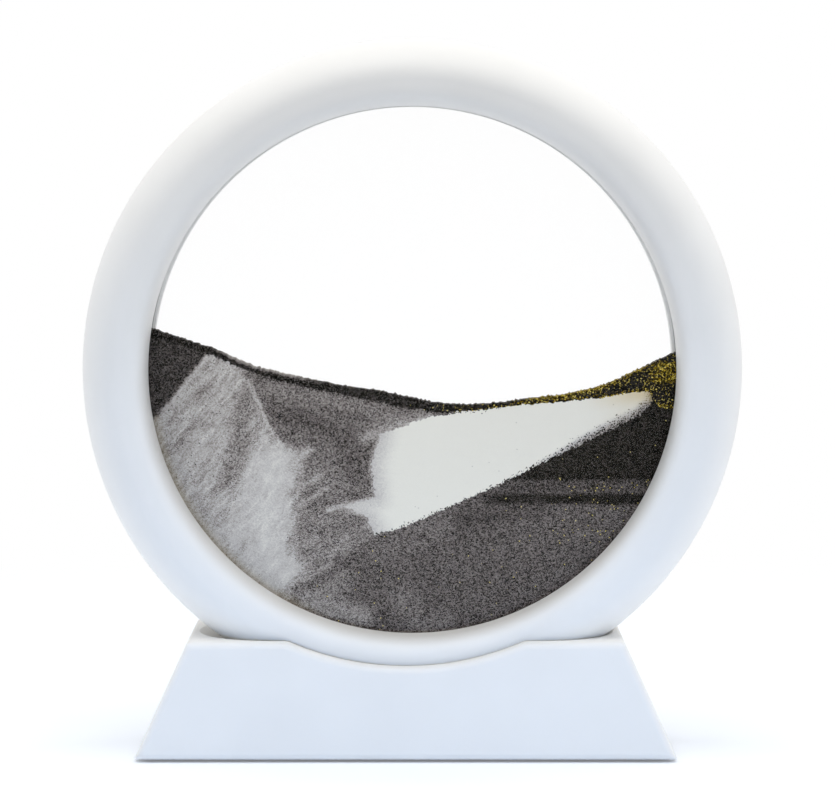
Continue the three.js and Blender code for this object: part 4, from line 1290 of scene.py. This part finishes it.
def prism(name, outline, half_depth, edge=0, corner=HOLLOW_CORNER):
    """An outline of x and z points, its inside to the left as it runs, drawn out across the depth, with its
    long edges rounded."""
    angles = np.linspace(math.pi / 2, 0, EDGE_STEPS + 1)
    steps = [(edge * (1 - math.sin(a)), half_depth - edge * (1 - math.cos(a))) for a in angles]
    if not edge:
        steps = steps[:1]
    rings = [(move, -y) for move, y in steps[::-1]] + steps
    points, faces = [], []
    for move, y in rings:
        level = softened(inset(outline, move), corner)
        points += [(x, y, z) for x, z in level]
    count = len(level)
    for level in range(len(rings) - 1):
        low, high = level * count, (level + 1) * count
        faces += [(low + i, high + i, high + (i + 1) % count, low + (i + 1) % count) for i in range(count)]
    faces += [tuple(range(count)), tuple(range(len(points) - count, len(points)))[::-1]]
    return outward(mesh_of(name, points, faces))


def base_outline(low, high, wall=0):
    """Trapezoid with the slant of the base's ends, its inside to the left as it runs."""
    slant = BASE_SPREAD / (BASE_TOP - BASE_FOOT)
    reach = lambda z: BASE_FOOT_HALF - slant * (z - BASE_FOOT) - wall
    return [(BASE_MIDDLE + side * reach(z), z) for side, z in ((-1, low), (1, low), (1, high), (-1, high))]


def dipped_outline():
    """The base from the front: the trapezoid with rounded corners and the curved dip for the ring."""
    reach = math.degrees(math.acos((CENTRE[2] - BASE_TOP) / DIP_RADIUS))
    dip = arc(BASE_MIDDLE, CENTRE[2], DIP_RADIUS, DIP_RADIUS, -90 + reach, -90 - reach, 2 * ARC_STEPS)
    low_left, low_right, high_right, high_left = base_outline(BASE_FOOT, BASE_TOP)
    return [low_left, low_right, high_right, *dip, high_left]


def seat_room(wall):
    """The room of the ring in its seat, from one end of its play to the other, grown by a wall."""
    rim = arc(SEAT_CREST, 0, SEAT_SHOULDER + wall, SEAT_DEPTH + wall, -90, 90, ARC_STEPS)
    shape = bmesh.new()
    for play in (-SEAT_PLAY, SEAT_PLAY):
        for angle in np.radians(np.linspace(-180, 0, RING_SEGMENTS // 2 + 1)):
            for radius, y in rim:
                x = BASE_MIDDLE + play + radius * math.cos(angle)
                z = CENTRE[2] + radius * math.sin(angle)
                shape.verts.new(Vector((x, y, z)) * MM)
    hull = bmesh.ops.convex_hull(shape, input=shape.verts)
    spare = [e for e in {*hull["geom_interior"], *hull["geom_unused"]} if isinstance(e, bmesh.types.BMVert)]
    bmesh.ops.delete(shape, geom=spare, context="VERTS")
    return outward(finished(shape, "seat_room"))


def make_base():
    shell = prism("base_shell", dipped_outline(), BASE_HALF_DEPTH, BASE_EDGE, BASE_CORNER)
    hollow_outline = base_outline(BASE_FOOT - BASE_WALL, BASE_TOP - BASE_WALL, BASE_WALL)
    hollow = prism("hollow", hollow_outline, BASE_HALF_DEPTH - BASE_WALL)
    hollow = cut(hollow, seat_room(BASE_WALL))
    for node in SCREW_NODES:
        place = middle_of(node)[:2]
        hollow = cut(hollow, rod("boss", place, COVER_TOP, BASE_TOP, BOSS_RADIUS))
        hollow = cut(hollow, rod("screw_hole", place, BASE_FOOT, SCREW_HOLE_TOP, SCREW_HOLE_RADIUS), "UNION")
    shell = cut(cut(shell, hollow), seat_room(0))
    piece("fine_base_shell", smooth(shell), WHITE_ABS, "base", ["base_shell"])
    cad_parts["base_cover"].data.materials.clear()
    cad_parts["base_cover"].data.materials.append(WHITE_ABS)


def screw_mesh():
    """A pan-head screw, head down, with a cross in its head and a thread on its shank, about the Z axis."""
    low, high = box_mm(SCREW_NODES[0])
    seat = low[2] + SCREW_HEAD_HEIGHT
    edge = SCREW_HEAD_EDGE
    rim = arc(SCREW_HEAD_RADIUS - edge, low[2] + edge, edge, edge, -90, 0, EDGE_STEPS)
    section = [(0, low[2]), *rim, (SCREW_HEAD_RADIUS, seat), (SCREW_RADIUS, seat)]
    crest = seat + THREAD_PITCH
    while crest < high[2] - THREAD_PITCH:
        root = SCREW_RADIUS - THREAD_DEPTH
        section += [(root, crest - THREAD_PITCH / 3), (SCREW_RADIUS, crest), (root, crest + THREAD_PITCH / 3)]
        crest += THREAD_PITCH
    section += [(SCREW_RADIUS / 3, high[2]), (0, high[2])]
    screw = turned("screw", section, STEEL, SMALL_SEGMENTS, (0, 0, 0), "Z")
    long, short = SCREW_CROSS / 2, SCREW_SLOT / 2
    for half_x, half_y in ((long, short), (short, long)):
        corner = (half_x, half_y, low[2] + SCREW_SLOT)
        screw = cut(screw, block("slot", (-half_x, -half_y, low[2] - SCREW_SLOT), corner))
    return smooth(screw)


def foot_mesh():
    """A round pad with a softened lower edge, about the Z axis."""
    low, high = box_mm(FOOT_NODES[0])
    radius = (high[0] - low[0]) / 2
    edge = arc(radius - FOOT_EDGE, low[2] + FOOT_EDGE, FOOT_EDGE, FOOT_EDGE, -90, 0, EDGE_STEPS)
    section = [(0, low[2]), *edge, (radius, high[2]), (0, high[2])]
    return smooth(turned("foot", section, RUBBER, SMALL_SEGMENTS, (0, 0, 0), "Z"))


def below_nodes(nodes):
    """Places on the table, straight below the middle of each node."""
    return [(*middle_of(node)[:2], 0) for node in nodes]


make_base()
set_out("cover_screws", screw_mesh(), below_nodes(SCREW_NODES), STEEL, "base", SCREW_NODES)
set_out("foot_pads", foot_mesh(), below_nodes(FOOT_NODES), RUBBER, "base", FOOT_NODES)


# Floor, light and camera

def to_the_eye(tree):
    """1 for what the eye sees straight, in gloss or through glass, and 0 for light that falls on things."""
    path = add_node(tree, "ShaderNodeLightPath").outputs
    direct = add_node(tree, "ShaderNodeMath", [
        (0, path["Is Camera Ray"]), (1, path["Is Transmission Ray"])], operation="MAXIMUM")
    return add_node(tree, "ShaderNodeMath", [
        (0, direct.outputs[0]), (1, path["Is Glossy Ray"])], operation="MAXIMUM").outputs[0]


def make_floor():
    """A plain pale floor that keeps the object's shadow and runs out into white."""
    half = FLOOR_HALF
    corners = [(-half, -half, 0), (half, -half, 0), (half, half, 0), (-half, half, 0)]
    floor = placed("floor", mesh_of("floor", corners, [(0, 1, 2, 3)]))
    finish, tree = new_finish("pale_floor")
    seen = to_the_eye(tree)
    place = add_node(tree, "ShaderNodeTexCoord").outputs["Object"]
    away = add_node(tree, "ShaderNodeVectorMath", [(0, place)], operation="LENGTH").outputs["Value"]
    far = add_node(tree, "ShaderNodeMapRange", [
        ("Value", away), ("From Min", FLOOR_FADE[0] * MM), ("From Max", FLOOR_FADE[1] * MM)],
        interpolation_type="SMOOTHSTEP")
    white_out = add_node(tree, "ShaderNodeMath", [(0, seen), (1, far.outputs[0])], operation="MULTIPLY")
    lift = add_node(tree, "ShaderNodeMath", [(0, seen), (1, FLOOR_LIFT)], operation="MULTIPLY")
    matt = add_node(tree, "ShaderNodeBsdfDiffuse", [("Color", colour("eaeff7"))])
    glow = add_node(tree, "ShaderNodeEmission", [("Strength", lift.outputs[0])])
    near = add_node(tree, "ShaderNodeAddShader", [(0, matt.outputs[0]), (1, glow.outputs[0])])
    white = add_node(tree, "ShaderNodeEmission", [("Strength", 1)])
    both = add_node(tree, "ShaderNodeMixShader", [
        (0, white_out.outputs[0]), (1, near.outputs[0]), (2, white.outputs[0])])
    add_node(tree, "ShaderNodeOutputMaterial", [("Surface", both.outputs[0])])
    floor.data.materials.append(finish)


def make_world():
    """White to the eye, and on the object an even light that is weaker from where the camera stands."""
    world = bpy.data.worlds.new("studio")
    bpy.context.scene.world = world
    world.use_nodes = True
    tree = world.node_tree
    tree.nodes.clear()
    direction = add_node(tree, "ShaderNodeTexCoord").outputs["Generated"]
    facing = add_node(tree, "ShaderNodeVectorMath", [
        (0, direction), (1, Vector(DARK_SIDE).normalized())], operation="DOT_PRODUCT").outputs["Value"]
    level = add_node(tree, "ShaderNodeMapRange", [
        ("Value", facing), ("From Min", DARK_START), ("From Max", 1),
        ("To Min", ROOM_LIGHT), ("To Max", DARK_LIGHT)], interpolation_type="SMOOTHSTEP")
    strength = add_node(tree, "ShaderNodeMix", [
        (0, to_the_eye(tree)), (2, level.outputs[0]), (3, 1.0)], data_type="FLOAT")
    light = add_node(tree, "ShaderNodeBackground", [
        ("Color", colour("ffffff")), ("Strength", strength.outputs[0])])
    add_node(tree, "ShaderNodeOutputWorld", [("Surface", light.outputs[0])])


def softbox(name, place, target, width, height, power, tint="ffffff", spread=180):
    """A soft lamp at a place, in millimetres, that looks at a target."""
    data = bpy.data.lights.new(name, "AREA")
    data.shape = "RECTANGLE"
    data.size = width * MM
    data.size_y = height * MM
    data.spread = math.radians(spread)
    data.energy = power
    data.color = colour(tint)[:3]
    lamp = bpy.data.objects.new(name, data)
    bpy.context.scene.collection.objects.link(lamp)
    lamp.location = Vector(place) * MM
    lamp.rotation_euler = (Vector(target) - Vector(place)).to_track_quat("-Z", "Y").to_euler()
    lamp.visible_camera = lamp.visible_glossy = lamp.visible_transmission = False


def make_camera():
    data = bpy.data.cameras.new("camera")
    data.lens = LENS
    data.sensor_width = SENSOR
    data.clip_start = CLIP_START * MM
    camera = bpy.data.objects.new("camera", data)
    bpy.context.scene.collection.objects.link(camera)
    camera.location = Vector(CAMERA_PLACE) * MM
    camera.rotation_euler = (math.radians(90 - CAMERA_PITCH), 0, 0)
    bpy.context.scene.camera = camera


make_floor()
make_world()
softbox("top_light", place=(0, -180, 1200), target=CENTRE, width=900, height=900, power=TOP_POWER)
for name, side in (("left_light", -1), ("right_light", 1)):
    softbox(name, place=(side * 850, 330, 160), target=CENTRE, width=300, height=500, power=SIDE_POWER)
softbox(
    "strip_light", place=(0, -700, 20), target=(0, 0, 20), width=600, height=30, power=STRIP_POWER,
    tint="a0caff", spread=STRIP_SPREAD)
make_camera()
bpy.context.scene.view_settings.view_transform = "Standard"
